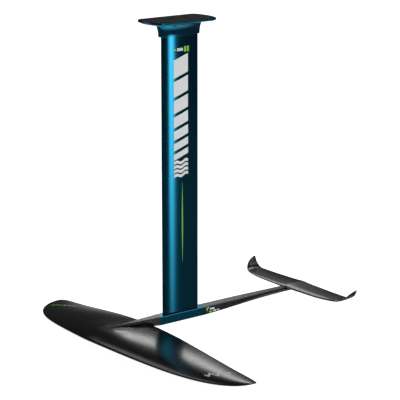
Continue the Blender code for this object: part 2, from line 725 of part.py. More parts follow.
def build_tail():
    """Span stations: eight along the flat, closer at the ridge, and ten round each winglet."""
    steps = 10
    last = tail_length() * 0.9960
    flat = [TAIL_BEND_START * (i / 8) ** 1.3 for i in range(8)]
    bent = [mix(TAIL_BEND_START, last, math.sin(math.pi / 2 * i / 9)) for i in range(10)]
    half = flat + bent
    rings = [tail_ring(s, -1, steps) for s in reversed(half[1:])]
    rings += [tail_ring(s, 1, steps) for s in half]
    tail = loft("tail_wing", rings, carbon())
    seat = FUSELAGE_TOP - SEAT_DROP + GAP
    join(tail, tail_foot(seat))
    for name, y in TAIL_SCREWS_Y.items():
        build_tail_fixing(tail, name, y, seat)


def tail_foot(seat):
    """The block under the tail wing that stands on the boom's seat and tapers upwards."""
    half = BOOM_TAIL_HALF_WIDTH - TAIL_FOOT_CLEARANCE
    front, rear = BOOM_SHOULDER + GAP, BOOM_END
    corner_y = rear - 0.002
    base = [(half, front), (half, corner_y), (half * 0.5, rear),
            (-half * 0.5, rear), (-half, corner_y), (-half, front)]
    wide, long = TAIL_FOOT_TAPER
    middle = (BOOM_SHOULDER + BOOM_END) / 2 + 0.01
    crown = [(x * wide, mix(middle, y, long), FUSELAGE_TOP - 0.0012) for x, y in base]
    return loft("tail_wing_foot", [[(x, y, seat) for x, y in base], crown])


def build_tail_fixing(tail, name, y, seat):
    """A brass insert in the tail wing's foot and the screw that comes up through the boom."""
    profile = [(INSERT_RADIUS, 0.0), (INSERT_RADIUS, INSERT_HEIGHT)]
    insert = turned(f"tail_insert_{name}", profile, (0.0, y, seat + GAP), False, brass())
    drill(insert, M5[0] + GAP, y, seat - OVERSHOOT, seat + 2 * OVERSHOOT)
    drill(tail, INSERT_RADIUS + GAP, y, seat - OVERSHOOT, seat + 2 * GAP + INSERT_HEIGHT)
    face = boom_keel(y)
    screw(f"tail_screw_{name}", M5, y, face, seat + INSERT_HEIGHT - face, False)


# --- Assembly -------------------------------------------------------------------------
def build_screws():
    high = -PAD_THICKNESS - GAP
    keel = FUSELAGE_TOP - FUSELAGE_HEIGHT
    for name, y in HEAD_SCREWS_Y.items():
        screw(f"head_screw_{name}", M6, y, high, HEAD_SCREW_LENGTH, True)
        screw(f"foot_screw_{name}", M6, y, keel, FOOT_SCREW_LENGTH, False)
    spigot_top = FUSELAGE_TOP - SPIGOT_DROP + SPIGOT_SIZE[1] / 2
    for name, y in JOIN_SCREWS_Y.items():
        face = {"tongue": tongue_floor(y), "boom": boom_keel(y)}.get(name, keel)
        screw(f"join_screw_{name}", M5, y, face, spigot_top - face - SCREW_END, False)


def main():
    clear_scene()
    build_pad()
    build_head()
    build_mast()
    build_gasket()
    build_foot()
    build_tongue()
    build_spigots()
    build_boom()
    build_wing()
    build_tail()
    build_screws()


main()
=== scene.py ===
"""Looks of the hydrofoil set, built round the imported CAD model.

Metres, in the row frame: +Z is up, -Y is forward and +X is to port. The origin is on
the face that the board rests on, in line with the middle of the mast's chord.
"""

import math

import bmesh
import bpy
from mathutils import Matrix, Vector


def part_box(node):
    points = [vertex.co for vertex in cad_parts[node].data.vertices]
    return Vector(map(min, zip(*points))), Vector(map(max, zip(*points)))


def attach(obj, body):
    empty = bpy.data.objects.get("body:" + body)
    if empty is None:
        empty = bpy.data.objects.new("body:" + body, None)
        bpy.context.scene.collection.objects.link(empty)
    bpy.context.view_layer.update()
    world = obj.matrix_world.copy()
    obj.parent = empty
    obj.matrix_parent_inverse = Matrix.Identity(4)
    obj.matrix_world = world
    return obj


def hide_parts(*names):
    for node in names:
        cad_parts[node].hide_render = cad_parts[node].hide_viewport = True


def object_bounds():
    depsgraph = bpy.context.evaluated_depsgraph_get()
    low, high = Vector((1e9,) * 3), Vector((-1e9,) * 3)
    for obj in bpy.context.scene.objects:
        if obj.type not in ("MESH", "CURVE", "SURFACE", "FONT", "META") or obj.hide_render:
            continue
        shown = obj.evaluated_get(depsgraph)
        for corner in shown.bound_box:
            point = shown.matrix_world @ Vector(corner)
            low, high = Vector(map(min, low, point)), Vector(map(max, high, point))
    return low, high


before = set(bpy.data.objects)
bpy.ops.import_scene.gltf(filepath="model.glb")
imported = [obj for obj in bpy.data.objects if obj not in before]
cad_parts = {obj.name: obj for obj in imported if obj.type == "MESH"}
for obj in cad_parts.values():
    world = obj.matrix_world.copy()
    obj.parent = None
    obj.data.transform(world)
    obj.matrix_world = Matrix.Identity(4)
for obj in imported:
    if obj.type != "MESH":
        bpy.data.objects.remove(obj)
CAD_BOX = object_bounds()

# --- Sizes read from the frame ---
MAST_LOW, MAST_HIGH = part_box("mast")
PAD_LOW, PAD_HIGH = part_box("board_pad")
HEAD_LOW, HEAD_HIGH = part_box("mast_head")
FOOT_LOW, FOOT_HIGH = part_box("mast_foot")
TONGUE_LOW, TONGUE_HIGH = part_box("front_fuselage")
BOOM_LOW, BOOM_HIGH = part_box("rear_fuselage")
WING_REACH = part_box("front_wing")[1].x  # where the skin stops, along the span

GAP = 0.0003  # clearance between pieces that touch
OVERSHOOT = 0.01  # how far a cutter runs past the face it cuts
TOP = FOOT_HIGH.z  # top of the fuselage
KEEL = FOOT_LOW.z  # underside of the mast foot
HALF_WIDTH = FOOT_HIGH.x  # half width of the fuselage
FOOT_HALF_LENGTH = FOOT_HIGH.y
MAST_CHORD = MAST_HIGH.y - MAST_LOW.y
MAST_THICKNESS = MAST_HIGH.x - MAST_LOW.x

# --- Shape of the alloy parts ---
MAST_TAIL = 0.0012  # thickness left at the trailing edge
MAST_NOSE = 0.38  # where the elliptic nose ends, along the chord
MAST_TAPER = 1.8  # power of the curve that thins the rest
MAST_EASE = 0.0005  # broken edge at the mast's cut ends
MAST_WALL = 0.0024
MAST_CHANNELS = ((-0.0510, -0.0430), (-0.0405, 0.0320), (0.0345, 0.0455))
CHANNEL_CORNER = 0.0006

PLATE_END_SAG = 0.0110  # how far the bowed ends fall back at the corners
PLATE_CORNER = 0.0120
PLATE_CHAMFER = 0.0032
PLATE_EDGE = 0.0003  # rounding of the plate's top edge
PLATE_BOTTOM = -0.0092
PAD_EDGE = 0.0005  # rounding of the pad's top edge
PAD_HOLE_MARGIN = 0.0012
SLOT_SPACING = (0.0900, 0.1650)
SLOT_SIZE = (0.0086, 0.0160)
SLOT_EASE = (0.0005, 0.0002)  # broken edges of the slots in the plate and in the pad
SLOT_OVERSHOOT = 0.002
COLLAR_BOTTOM = HEAD_LOW.z
COLLAR_WALL = 0.0056
COLLAR_SHIFT = -0.0022  # the collar stands a little further forward than the mast
COLLAR_FLARE = (0.0460, 0.0830)  # half width and half length where it meets the plate
COLLAR_OVERLAP = 0.0012  # how far the collar runs into the plate
COLLAR_LIP = 0.0007  # broken edge round the collar's mouth
SOCKET_TOP = MAST_HIGH.z + GAP

TOP_EDGE = 0.0018  # chamfer along the fuselage's top edges
FOOT_EDGE = 0.6 * TOP_EDGE
KEEL_EDGE = 0.0020  # chamfer along the keel edges
EDGE_ROUND = 0.0005  # small rounding left on machined edges
MACHINED_SHARP = 14.0  # degrees between facets that stay crisp
TONGUE_FRONT = TONGUE_LOW.y
TONGUE_NOSE_HEIGHT = 0.0058
TONGUE_NOSE = (0.0022, 0.0006, 0.0012)  # half widths at the nose: over all, top flat, keel
TONGUE_TAPER = 2.2  # power of the curve that narrows the tongue
TONGUE_EDGE_SLOPE = 0.45  # fall of the tongue's top facets over their width
TONGUE_WAIST = (0.0040, 0.36)  # the waist's depth at the nose, and where it gets there
TONGUE_LEDGE = 0.0008  # least height of the waist above the keel
BOOM_SHOULDER = 0.3880  # where the tail wing's seat starts
BOOM_END = BOOM_HIGH.y
BOOM_TAIL_HALF_WIDTH = 0.0105
BOOM_TAIL_HEIGHT = 0.0158
BOOM_TAIL_WAIST = 0.0078  # depth of the widest line below the top, at the tail end
BOOM_TAIL_KEEL = 0.0052  # half width of the keel at the tail end
BOOM_SWEEP = 1.5  # power of the curve that lifts the keel
BOOM_NARROWING = (0.30, 0.70)  # where along the boom it starts, and over what length
BOOM_WAIST_RISE = (0.15, 0.65)
BOOM_KEEL_NARROWING = (0.15, 0.75)
SEAT_DROP = 0.0085
TAIL_SEAT = TOP - SEAT_DROP + GAP

# --- Shape of the wings ---
WING_HALF_SPAN = 0.4666  # of the planform's curve; the skin stops just short
WING_TIP_Y = -0.1083
WING_ROOT_LEADING = -0.3288
WING_ROOT_TRAILING = -0.1010
WING_ROOT_DROP = 0.0180  # root leading edge below the fuselage top
WING_WASHOUT = 0.0062  # trailing edge below the leading edge at the root
WING_THICKNESS = 0.119  # of the chord
WING_TIP_THICKNESS = 0.78  # of the root's share
WING_LEADING_POWERS = (1.685, 2.054)  # superellipse of the leading edge
WING_TRAILING_POWERS = (6.6, 3.3)  # and of the trailing edge's tips
WING_SWEEP = (0.0080, 0.0160)  # trailing edge, squared and fourth-power terms
WING_DROOP = (0.0687, -0.0243)  # fall towards the tips, the same two terms
WING_CAMBER = 0.0227
SADDLE_LIP = 0.0052  # how far the wing's saddle rises round the tongue
SADDLE_HALF_WIDTH = 0.017
SADDLE_BLEND = 0.040  # width over which the saddle fades into the wing
SADDLE_TOP = 0.0010  # highest part of the saddle, below the fuselage top
SADDLE_FADE = 0.30  # share of the chord over which it fades at each edge
RECESS_REAR = -0.0850  # where the cutter for the tongue's pocket starts

TAIL_HALF_SPAN = 0.2360
TAIL_BEND_START = 0.1960
TAIL_BEND_RADIUS = 0.0395
TAIL_BEND_ANGLE = math.radians(68.0)
TAIL_TRAILING = 0.4769
TAIL_CHORD = 0.0788
TAIL_THICKNESS = 0.115
TAIL_TIP_POWERS = (4.05, 1.70)  # superellipse of the leading edge
TAIL_NOTCH = (0.0048, 0.10)  # depth and half width of the hollow in the trailing edge
TAIL_RIDGE = 0.148  # half width of the ridge over the centre
TAIL_RIDGE_RISE = (0.0019, 0.0065)  # its height at the leading and trailing edge
TAIL_DROP = (0.0038, 0.0040)  # chord line's two ends below the fuselage top
TAIL_END = 0.9975  # where the last ring stands, as a share of the length
TAIL_FOOT_CLEARANCE = 0.0004
TAIL_FOOT_TAPER = (0.72, 0.62)  # width and length left at the foot's top
TAIL_FOOT_BEVEL = 0.002
TAIL_FOOT_CORNER = 0.0008

# --- Fasteners ---
# Shank radius, head radius, socket width across flats, thread pitch
M5 = (0.0025, 0.0047, 0.0030, 0.0008)
M6 = (0.0030, 0.0058, 0.0040, 0.0010)
SCREW_SIDES = 36
HEAD_ROUND = 0.0003  # rounding of a screw's or ferrule's rim
RIM = 0.0004  # straight rim of a countersunk head
CAP_RECESS = 0.0004  # how far a screw head sits below its face
SOCKET_EASE = 0.00025  # broken edge round a socket
SOCKET_DEPTH = 0.8  # of the cone's height
THREAD_DEPTH = 0.6  # of the pitch
THREAD_START = 1.5  # pitches of plain shank under the cone
THREAD_STOP = 1.6  # pitches left for the pointed tip
THREAD_STEPS = 4  # rings a turn
TIP_STEPS = ((0.6, 0.4), (1.1, 0.0))  # pitches in from the shank and back from the end
HOLE_EASE = 0.00035  # broken edge round a screw hole
JOIN_HOLE = 0.012
TAIL_HOLE = 0.020
HEAD_HOLE = 0.030
FERRULE_FLANGE = 0.0038
FERRULE_SHANK = 0.0050

HEAD_SCREWS = ("head_screw_front", "head_screw_rear")
FOOT_SCREWS = ("foot_screw_front", "foot_screw_rear")
JOIN_SCREWS = ("join_screw_tongue", "join_screw_foot_front", "join_screw_foot_rear", "join_screw_boom")
WING_SCREWS = ("wing_screw_front", "wing_screw_middle", "wing_screw_rear")
TAIL_SCREWS = ("tail_screw_front", "tail_screw_rear")
TAIL_INSERTS = ("tail_insert_front", "tail_insert_rear")
FERRULES = ("wing_ferrule_front", "wing_ferrule_middle", "wing_ferrule_rear")

# --- Printed marks ---
PRINT_RISE = 0.00010  # ink film above the surface
PRINT_ROOT = 0.00012  # how far the film's back is sunk into it
BARS_MIDDLE = -0.0017  # middle of the mast's bars along the chord
BARS_HALF = 0.0258
BARS_LEAN = 0.32
BARS_TOP = -0.1070
BAR_HEIGHTS = (0.0520, 0.0440, 0.0370, 0.0310, 0.0260, 0.0210, 0.0170)
BAR_SPACE = 0.0095
WAVES_TOP = -0.4090
WAVES_STEP = 0.0125
WAVE_HALF_HEIGHT = 0.0042
WAVE = (0.0340, 0.0026, 0.10)  # length, swing and slope of each wave on the mast
TICK_ROW = -0.0865
# Start, end, place and width of each tick
MAST_WHITE_TICKS = tuple((y, y + 0.0056, TICK_ROW, 0.0085) for y in (-0.0150, -0.0078, -0.0006))
MAST_GREEN_TICKS = ((-0.0290, -0.0190, TICK_ROW, 0.0040), (0.0095, 0.0175, TICK_ROW, 0.0150),
                    (0.0200, 0.0280, TICK_ROW, 0.0150))
NEEDLE_ENDS = (-0.4650, -0.7020)
NEEDLE_Y = 0.0020
NEEDLE_HALF_WIDTHS = (0.0001, 0.0021)  # at the ends, and what the middle adds
WING_ROW = (-0.4010, -0.1830, 0.55)  # a point on the row of ticks by the starboard tip, and its slope
WING_TICK = 0.0115
WING_GREEN_TICKS = (-0.4010, -0.3850)
WING_WHITE_TICKS = (-0.3680, -0.3530, -0.3400)
WING_TICK_WIDTHS = (0.0150, 0.0090)
WING_WAVE_ENDS = (-0.2020, -0.1600)
WING_WAVE_X = 0.3730
WING_WAVE_HALF_WIDTH = 0.0045
WING_WAVE = (0.0240, 0.0062, 0.40)
WING_DASH = (-0.1540, -0.1220, 0.3850, 0.0080, 0.02)  # start, end, place, width, slope
BOOM_GREEN_TICKS = ((0.0840, 0.0885, -0.8585, 0.0105), (0.0940, 0.1040, -0.8685, 0.0050))
BOOM_WHITE_TICKS = ((0.0905, 0.0930, -0.8550, 0.0040), (0.0970, 0.1130, -0.8600, 0.0048),
                    (0.1090, 0.1200, -0.8675, 0.0040), (0.1230, 0.1310, -0.8670, 0.0028))

# --- Camera ---
CAMERA_PLACE = (3.6313, -2.7419, 0.6212)
CAMERA_HEADING = math.radians(142.2241)
CAMERA_PITCH = math.radians(14.0807)
CAMERA_LENS = 148.27
CAMERA_SENSOR = 36.0

# --- Light ---
# Height share from straight down to straight up, and radiance
BASE_LIGHT = ((0.0, 1.2), (0.06, 1.1), (0.17, 0.08), (0.35, 0.07),
              (0.385, 0.08), (0.42, 0.032), (0.52, 0.036), (1.0, 0.06))
# Azimuth from +X towards +Y, elevation, inner and outer radius in degrees, and radiance
GLOWS = (
    (142.0, -24.0, 6.0, 22.0, 1.2),
    (135.0, 21.0, 3.0, 13.0, 0.28),
    (40.0, 27.0, 3.0, 16.0, 2.1),
    (-165.0, 65.0, 12.0, 26.0, 1.7),
    (68.0, 50.0, 8.0, 22.0, 1.2),
    (-140.0, -12.0, 2.0, 18.0, 0.6),
    (-48.0, 22.0, 4.0, 20.0, 0.9),
    # Three lobes that overlap into an upright strip
    (26.5, -2.0, 0.5, 7.5, 2.1),
    (26.5, -8.0, 0.5, 7.5, 2.1),
    (26.5, -12.0, 0.5, 7.5, 2.1),
)
# A soft box behind the wings: the point it faces, azimuth, elevation, distance, sides, radiance
WING_BOX = ((0.12, -0.20, -0.87), 132.8, 23.2, 1.45, (0.66, 0.23), 3.4)

WHITE = (1.0, 1.0, 1.0, 1.0)
FLOOR_HALF_SIZE = 60.0
FLOOR_GAP = 0.0002  # between the floor and the lowest point of the wings


# --- Numbers ---
def mix(a, b, t):
    return a + (b - a) * t


def smooth(t):
    t = min(max(t, 0.0), 1.0)
    return t * t * (3.0 - 2.0 * t)


def even(start, end, steps):
    """Evenly spaced values from start to end."""
    return [mix(start, end, i / steps) for i in range(steps + 1)]


def mirrored(side):
    """Close an outline with the mirror image of its port side."""
    return side + [(-x, other) for x, other in reversed(side)]


def corners(outline):
    """Each corner of a closed outline, with the corners before and after it."""
    points = [Vector(point) for point in outline]
    return list(zip(points[-1:] + points[:-1], points, points[1:] + points[:1]))


def offset_outline(outline, distance):
    """Move a closed convex outline outwards by a distance, or inwards if negative."""
    area = sum(last.x * here.y - here.x * last.y for last, here, _ in corners(outline))
    turn = 1.0 if area > 0.0 else -1.0
    moved = []
    for last, here, following in corners(outline):
        edges = ((here - last).normalized(), (following - here).normalized())
        normals = [Vector((edge.y, -edge.x)) * turn for edge in edges]
        middle = (normals[0] + normals[1]).normalized()
        reach = distance / max(middle.dot(normals[0]), 0.5)
        moved.append(tuple(here + middle * reach))
    return moved


def rounded(outline, radius, steps=4):
    """Swap each corner of a closed outline for a small arc."""
    made = []
    for last, here, following in corners(outline):
        before = last - here
        after = following - here
        reach = min(radius, 0.45 * before.length, 0.45 * after.length)
        start = here + before.normalized() * reach
        end = here + after.normalized() * reach
        for t in even(0.0, 1.0, steps):
            made.append(tuple(start.lerp(here, t).lerp(here.lerp(end, t), t)))
    return made


# --- Meshes ---
def shade(mesh, sharp):
    mesh.shade_smooth()
    mesh.set_sharp_from_angle(angle=math.radians(sharp))


def add_object(name, data):
    made = bpy.data.objects.new(name, data)
    bpy.context.scene.collection.objects.link(made)
    return made


def add_mesh(name, bm, finish=None, sharp=30.0):
    bmesh.ops.recalc_face_normals(bm, faces=bm.faces)
    mesh = bpy.data.meshes.new(name)
    bm.to_mesh(mesh)
    bm.free()
    shade(mesh, sharp)
    if finish:
        mesh.materials.append(finish)
    return add_object(name, mesh)


def skin(bm, rings):
    """Join rings of points, all with the same count, into one closed body."""
    loops = [[bm.verts.new(point) for point in ring] for ring in rings]
    count = len(loops[0])
    for low, high in zip(loops, loops[1:]):
        for i in range(count):
            j = (i + 1) % count
            bm.faces.new((low[i], low[j], high[j], high[i]))
    bm.faces.new(loops[0])
    bm.faces.new(loops[-1])


def loft(name, rings, finish=None, sharp=30.0):
    bm = bmesh.new()
    skin(bm, rings)
    return add_mesh(name, bm, finish, sharp)


def oblong(x_low, x_high, y_low, y_high):
    return [(x_low, y_low), (x_high, y_low), (x_high, y_high), (x_low, y_high)]


def level(outline, z):
    return [(x, y, z) for x, y in outline]


def prism(name, outline, low, high, finish=None):
    return loft(name, [level(outline, low), level(outline, high)], finish)


def circle(radius, centre, sides=48, turn=0.0):
    angles = [turn + 2.0 * math.pi * i / sides for i in range(sides)]
    return [(centre[0] + radius * math.cos(a), centre[1] + radius * math.sin(a)) for a in angles]


def turned(name, profile, centre, up=False, finish=None, sides=48):
    """Turn (radius, depth) pairs about a vertical line; depth runs away from the head."""
    way = -1.0 if up else 1.0
    rings = [level(circle(radius, centre, sides), centre[2] + way * depth) for radius, depth in profile]
    return loft(name, rings, finish)


def carve(target, tools, operation="DIFFERENCE", sharp=30.0):
    """Apply Booleans for good, then drop the tools."""
    for tool in tools:
        step = target.modifiers.new(operation.lower(), "BOOLEAN")
        step.operation = operation
        step.solver = "EXACT"
        step.object = tool
    shaped = target.evaluated_get(bpy.context.evaluated_depsgraph_get())
    mesh = bpy.data.meshes.new_from_object(shaped)
    target.modifiers.clear()
    target.data = mesh
    for tool in tools:
        bpy.data.objects.remove(tool)
    shade(mesh, sharp)
    target.modifiers.new("even_normals", "WEIGHTED_NORMAL").keep_sharp = True
    return target


def settle(piece, slot, *nodes):
    """The piece rides on the one body and stands for CAD nodes; the slot is not used."""
    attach(piece, "root")
    if nodes:
        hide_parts(*nodes)
    return piece


# --- Node helpers ---
def fill(made, *first, **named):
    """Give a node's first sockets, and sockets by name, their values or links."""
    pairs = list(zip(made.inputs, first))
    pairs += [(made.inputs[name.replace("_", " ")], value) for name, value in named.items()]
    for socket, value in pairs:
        if isinstance(value, bpy.types.NodeSocket):
            made.id_data.links.new(value, socket)
        else:
            socket.default_value = value
    return made


def add_node(tree, kind, *first, **named):
    return fill(tree.nodes.new(f"ShaderNode{kind}"), *first, **named)


def shader_of(name, color, roughness, metallic=0.0):
    """A new material with its node tree and its Principled shader."""
    made = bpy.data.materials.new(name)
    made.use_nodes = True
    shader = made.node_tree.nodes["Principled BSDF"]
    fill(shader, Base_Color=(*color, 1.0), Roughness=roughness, Metallic=metallic)
    return made, made.node_tree, shader


def place_texture(tree, scale):
    """Object coordinates, stretched by a scale along each axis."""
    coords = add_node(tree, "TexCoord")
    return add_node(tree, "Mapping", Scale=scale, Vector=coords.outputs["Object"]).outputs["Vector"]


def noise(tree, scale, detail=4.0):
    place = place_texture(tree, scale)
    made = add_node(tree, "TexNoise", Scale=1.0, Detail=detail, Roughness=0.55, Vector=place)
    return made.outputs["Fac"]


def spread(tree, value, low, high):
    """Stretch a 0.3 to 0.7 noise value over a new range."""
    made = add_node(tree, "MapRange", From_Min=0.3, From_Max=0.7, To_Min=low, To_Max=high, Value=value)
    return made.outputs["Result"]


def blend(tree, shader, factor, dark, light):
    """Colour that drifts between two close tones."""
    made = tree.nodes.new("ShaderNodeMix")
    made.data_type = "RGBA"
    fill(made, Factor=factor, A=(*dark, 1.0), B=(*light, 1.0))
    fill(shader, Base_Color=made.outputs["Result"])


def two_tone(tree, shader, value, dark, light):
    blend(tree, shader, spread(tree, value, 0.0, 1.0), dark, light)


def roughen(tree, shader, value, low, high):
    fill(shader, Roughness=spread(tree, value, low, high))


def bump(tree, shader, value, distance):
    made = add_node(tree, "Bump", Strength=1.0, Distance=distance, Height=value)
    fill(shader, Normal=made.outputs["Normal"])


# --- Materials ---
def blue_anodised():
    """Blasted and dyed alloy; faint lines run along the extrusion."""
    made, tree, shader = shader_of("blue_anodised_satin", (0.016, 0.200, 0.330), 0.24, 1.0)
    drift = noise(tree, (9.0, 9.0, 2.0), 2.0)
    two_tone(tree, shader, drift, (0.014, 0.192, 0.318), (0.018, 0.208, 0.342))
    roughen(tree, shader, noise(tree, (700.0, 700.0, 9.0)), 0.15, 0.18)
    bump(tree, shader, noise(tree, (2600.0, 2600.0, 40.0), 3.0), 0.0000008)
    return made


def black_anodised():
    made, tree, shader = shader_of("black_anodised_satin", (0.072, 0.074, 0.078), 0.36, 1.0)
    drift = noise(tree, (30.0, 8.0, 30.0), 2.0)
    two_tone(tree, shader, drift, (0.066, 0.068, 0.072), (0.080, 0.082, 0.086))
    roughen(tree, shader, noise(tree, (800.0, 30.0, 800.0)), 0.24, 0.31)
    bump(tree, shader, noise(tree, (4200.0,) * 3, 3.0), 0.000001)
    return made


def black_laminate():
    """Lacquered black laminate; a faint twill shows under the lacquer."""
    made, tree, shader = shader_of("black_laminate_lacquer", (0.005, 0.005, 0.005), 0.24)
    place = place_texture(tree, (150.0, 150.0, 0.0))
    weave = add_node(tree, "TexWave", Scale=1.0, Distortion=0.6, Detail=1.0, Vector=place)
    weave.wave_type = "BANDS"
    weave.bands_direction = "DIAGONAL"
    blend(tree, shader, weave.outputs["Fac"], (0.0040, 0.0040, 0.0043), (0.0060, 0.0060, 0.0064))
    roughen(tree, shader, noise(tree, (60.0,) * 3), 0.185, 0.225)
    bump(tree, shader, noise(tree, (260.0,) * 3, 2.0), 0.000002)
    return made


# Black grainy finish: on the sheet over the plate its black is painted shade; it also covers the thin piece
# under the mast.
def black_sheet_finish():
    made, tree, shader = shader_of("black_sheet_grain", (0.018, 0.018, 0.019), 0.72)
    two_tone(tree, shader, noise(tree, (60.0,) * 3), (0.015, 0.015, 0.016), (0.022, 0.022, 0.023))
    roughen(tree, shader, noise(tree, (900.0,) * 3), 0.62, 0.80)
    grain = add_node(tree, "TexVoronoi", Scale=1.0, Vector=place_texture(tree, (1100.0,) * 3))
    bump(tree, shader, grain.outputs["Distance"], 0.00012)
    return made


def uneven(tree, shader, color, fade, scale):
    """A colour that fades a little in soft patches."""
    two_tone(tree, shader, noise(tree, (scale,) * 3), tuple(fade * c for c in color), color)


def turned_metal(name, color, roughness):
    """Machined metal with fine circular tool marks, softened by wear."""
    made, tree, shader = shader_of(name, color, roughness, 1.0)
    uneven(tree, shader, color, 0.88, 160.0)
    roughen(tree, shader, noise(tree, (1500.0, 1500.0, 5000.0)), roughness - 0.06, roughness + 0.08)
    bump(tree, shader, noise(tree, (900.0, 900.0, 6000.0)), 0.00001)
    return made


def print_ink(name, color):
    """Screen-printed ink, a little uneven where it sits on the metal's grain."""
    made, tree, shader = shader_of(name, color, 0.45)
    uneven(tree, shader, color, 0.90, 420.0)
    roughen(tree, shader, noise(tree, (900.0,) * 3), 0.40, 0.55)
    return made


BLUE = blue_anodised()
BLACK = black_anodised()
LAMINATE = black_laminate()
BLACK_SHEET = black_sheet_finish()
STEEL = turned_metal("stainless_turned", (0.560, 0.565, 0.570), 0.28)
BRASS = turned_metal("brass_turned", (0.640, 0.470, 0.190), 0.30)
ALLOY = turned_metal("bare_alloy_milled", (0.700, 0.705, 0.715), 0.34)
WHITE_INK = print_ink("white_print", (0.800, 0.815, 0.830))
GREEN_INK = print_ink("green_print", (0.180, 0.620, 0.020))


# --- Screws ---
def screw_size(node):
    low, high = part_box(node)
    return M6 if high.x - low.x > 2.2 * M5[1] else M5


def screw_axis(node):
    low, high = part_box(node)
    return (low.x + high.x) / 2, (low.y + high.y) / 2


def build_screw(node, up):
    """A countersunk socket screw with a rounded rim, a hexagon socket and a rolled thread."""
    shank, head, flats, pitch = screw_size(node)
    low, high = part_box(node)
    length = high.z - low.z
    centre = screw_axis(node)
    head_z, way = (high.z, -1.0) if up else (low.z, 1.0)
    cone = RIM + head - shank
    profile = [(head - HEAD_ROUND, 0.0), (head - HEAD_ROUND / 3, HEAD_ROUND / 3), (head, 0.00025),
               (head, RIM), (shank, cone), (shank, cone + pitch)]
    rings = [level(circle(radius, centre, SCREW_SIDES), head_z + way * depth) for radius, depth in profile]
    start = cone + THREAD_START * pitch
    turns = (length - THREAD_STOP * pitch - start) / pitch
    for i in range(int(turns * THREAD_STEPS) + 1):
        rings.append(thread_ring(centre, head_z, way, start + i * pitch / THREAD_STEPS, shank, pitch))
    for inward, back in TIP_STEPS:
        tip = circle(shank - inward * pitch, centre, SCREW_SIDES)
        rings.append(level(tip, head_z + way * (length - back * pitch)))
    made = loft(f"{node}_threaded", rings, STEEL)
    across = flats / math.sqrt(3.0)
    socket = [(across + SOCKET_EASE, -0.001), (across + SOCKET_EASE, 0.0), (across, SOCKET_EASE)]
    socket.append((across, SOCKET_DEPTH * (head - shank)))
    tool = turned(f"{node}_socket", socket, (*centre, head_z), up, sides=6)
    carve(made, [tool])
    settle(made, "stainless", node)


def thread_ring(centre, head_z, way, depth, shank, pitch):
    """One ring of a helical thread: its radius swells and falls once a turn."""
    ring = []
    for i in range(SCREW_SIDES):
        angle = 2.0 * math.pi * i / SCREW_SIDES
        phase = depth / pitch * 2.0 * math.pi - way * angle
        radius = shank - THREAD_DEPTH / 2 * pitch * (1.0 - math.cos(phase))
        x = centre[0] + radius * math.cos(angle)
        y = centre[1] + radius * math.sin(angle)
        ring.append((x, y, head_z + way * depth))
    return ring


def screw_hole(node, depth, up=False, sides=48):
    """The countersunk hole that a screw stands in, with a broken edge at the face."""
    shank, head, _, _ = screw_size(node)
    low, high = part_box(node)
    rim = head + GAP
    outer = rim + HOLE_EASE
    profile = [(outer, -0.004), (outer, -CAP_RECESS - 0.00025), (rim, -CAP_RECESS + 0.0001)]
    profile += [(rim, RIM + GAP), (shank + GAP, RIM + head - shank + GAP), (shank + GAP, depth)]
    head_z = high.z if up else low.z
    return turned(f"{node}_hole", profile, (*screw_axis(node), head_z), up, sides=sides)


def bore(name, radius, centre, low, high):
    return turned(name, [(radius, 0.0), (radius, high - low)], (*centre, low))


# --- Mast head and board pad ---
def quarter(x0, y0, x1, y1, steps):
    """An elliptic corner that leaves (x0, y0) along X and reaches (x1, y1) along Y."""
    angles = even(0.0, math.pi / 2, steps)[1:]
    return [(mix(x0, x1, math.sin(a)), mix(y1, y0, math.cos(a))) for a in angles]


def plate_outline(inset, steps=14):
    """The plate seen from above: bowed ends, straight sides and rounded corners."""
    half = HEAD_HIGH.x - inset
    front = HEAD_LOW.y + inset
    rear = HEAD_HIGH.y - inset
    inner = half - PLATE_CORNER
    sag = PLATE_END_SAG * (inner / half) ** 2
    reach = PLATE_CORNER * 1.3
    port_front = quarter(inner, front + sag, half, front + sag + reach, steps)
    port_rear = quarter(inner, rear - sag, half, rear - sag - reach, steps)
    across = even(-inner, inner, steps)
    outline = [(x, front + sag * (x / inner) ** 2) for x in across]
    outline += port_front + port_rear[::-1]
    outline += [(x, rear - sag * (x / inner) ** 2) for x in reversed(across)]
    outline += [(-x, y) for x, y in port_rear]
    outline += [(-x, y) for x, y in reversed(port_front)]
    return outline


def slot_outline(centre, grow):
    radius = SLOT_SIZE[0] / 2 + grow
    straight = (SLOT_SIZE[1] - SLOT_SIZE[0]) / 2
    points = []
    for end, start in ((1, 0.0), (-1, math.pi)):
        for angle in even(start, start + math.pi, 14):
            y = centre[1] + end * straight + radius * math.sin(angle)
            points.append((centre[0] + radius * math.cos(angle), y))
    return points


def slot_tools(name, low, high, ease):
    """Cutters for the four bolt slots, with eased rims at both faces."""
    middle = (HEAD_LOW.y + HEAD_HIGH.y) / 2
    rims = [(low - SLOT_OVERSHOOT, ease), (low, ease), (low + ease, 0.0),
            (high - ease, 0.0), (high, ease), (high + SLOT_OVERSHOOT, ease)]
    tools = []
    for side_y in (-1, 1):
        for side_x in (-1, 1):
            centre = (side_x * SLOT_SPACING[0] / 2, middle + side_y * SLOT_SPACING[1] / 2)
            rings = [level(slot_outline(centre, grow), z) for z, grow in rims]
            tools.append(loft(f"{name}_slot_{len(tools)}", rings))
    return tools


def mast_half_thickness(y):
    """Half thickness of the mast: an elliptic nose, then a long fair taper."""
    u = (y + MAST_CHORD / 2) / MAST_CHORD
    if u < MAST_NOSE:
        return MAST_THICKNESS * math.sqrt(max(1.0 - (1.0 - u / MAST_NOSE) ** 2, 0.0)) / 2
    shape = 1.0 - ((u - MAST_NOSE) / (1.0 - MAST_NOSE)) ** MAST_TAPER
    return mix(MAST_TAIL, MAST_THICKNESS, shape) / 2


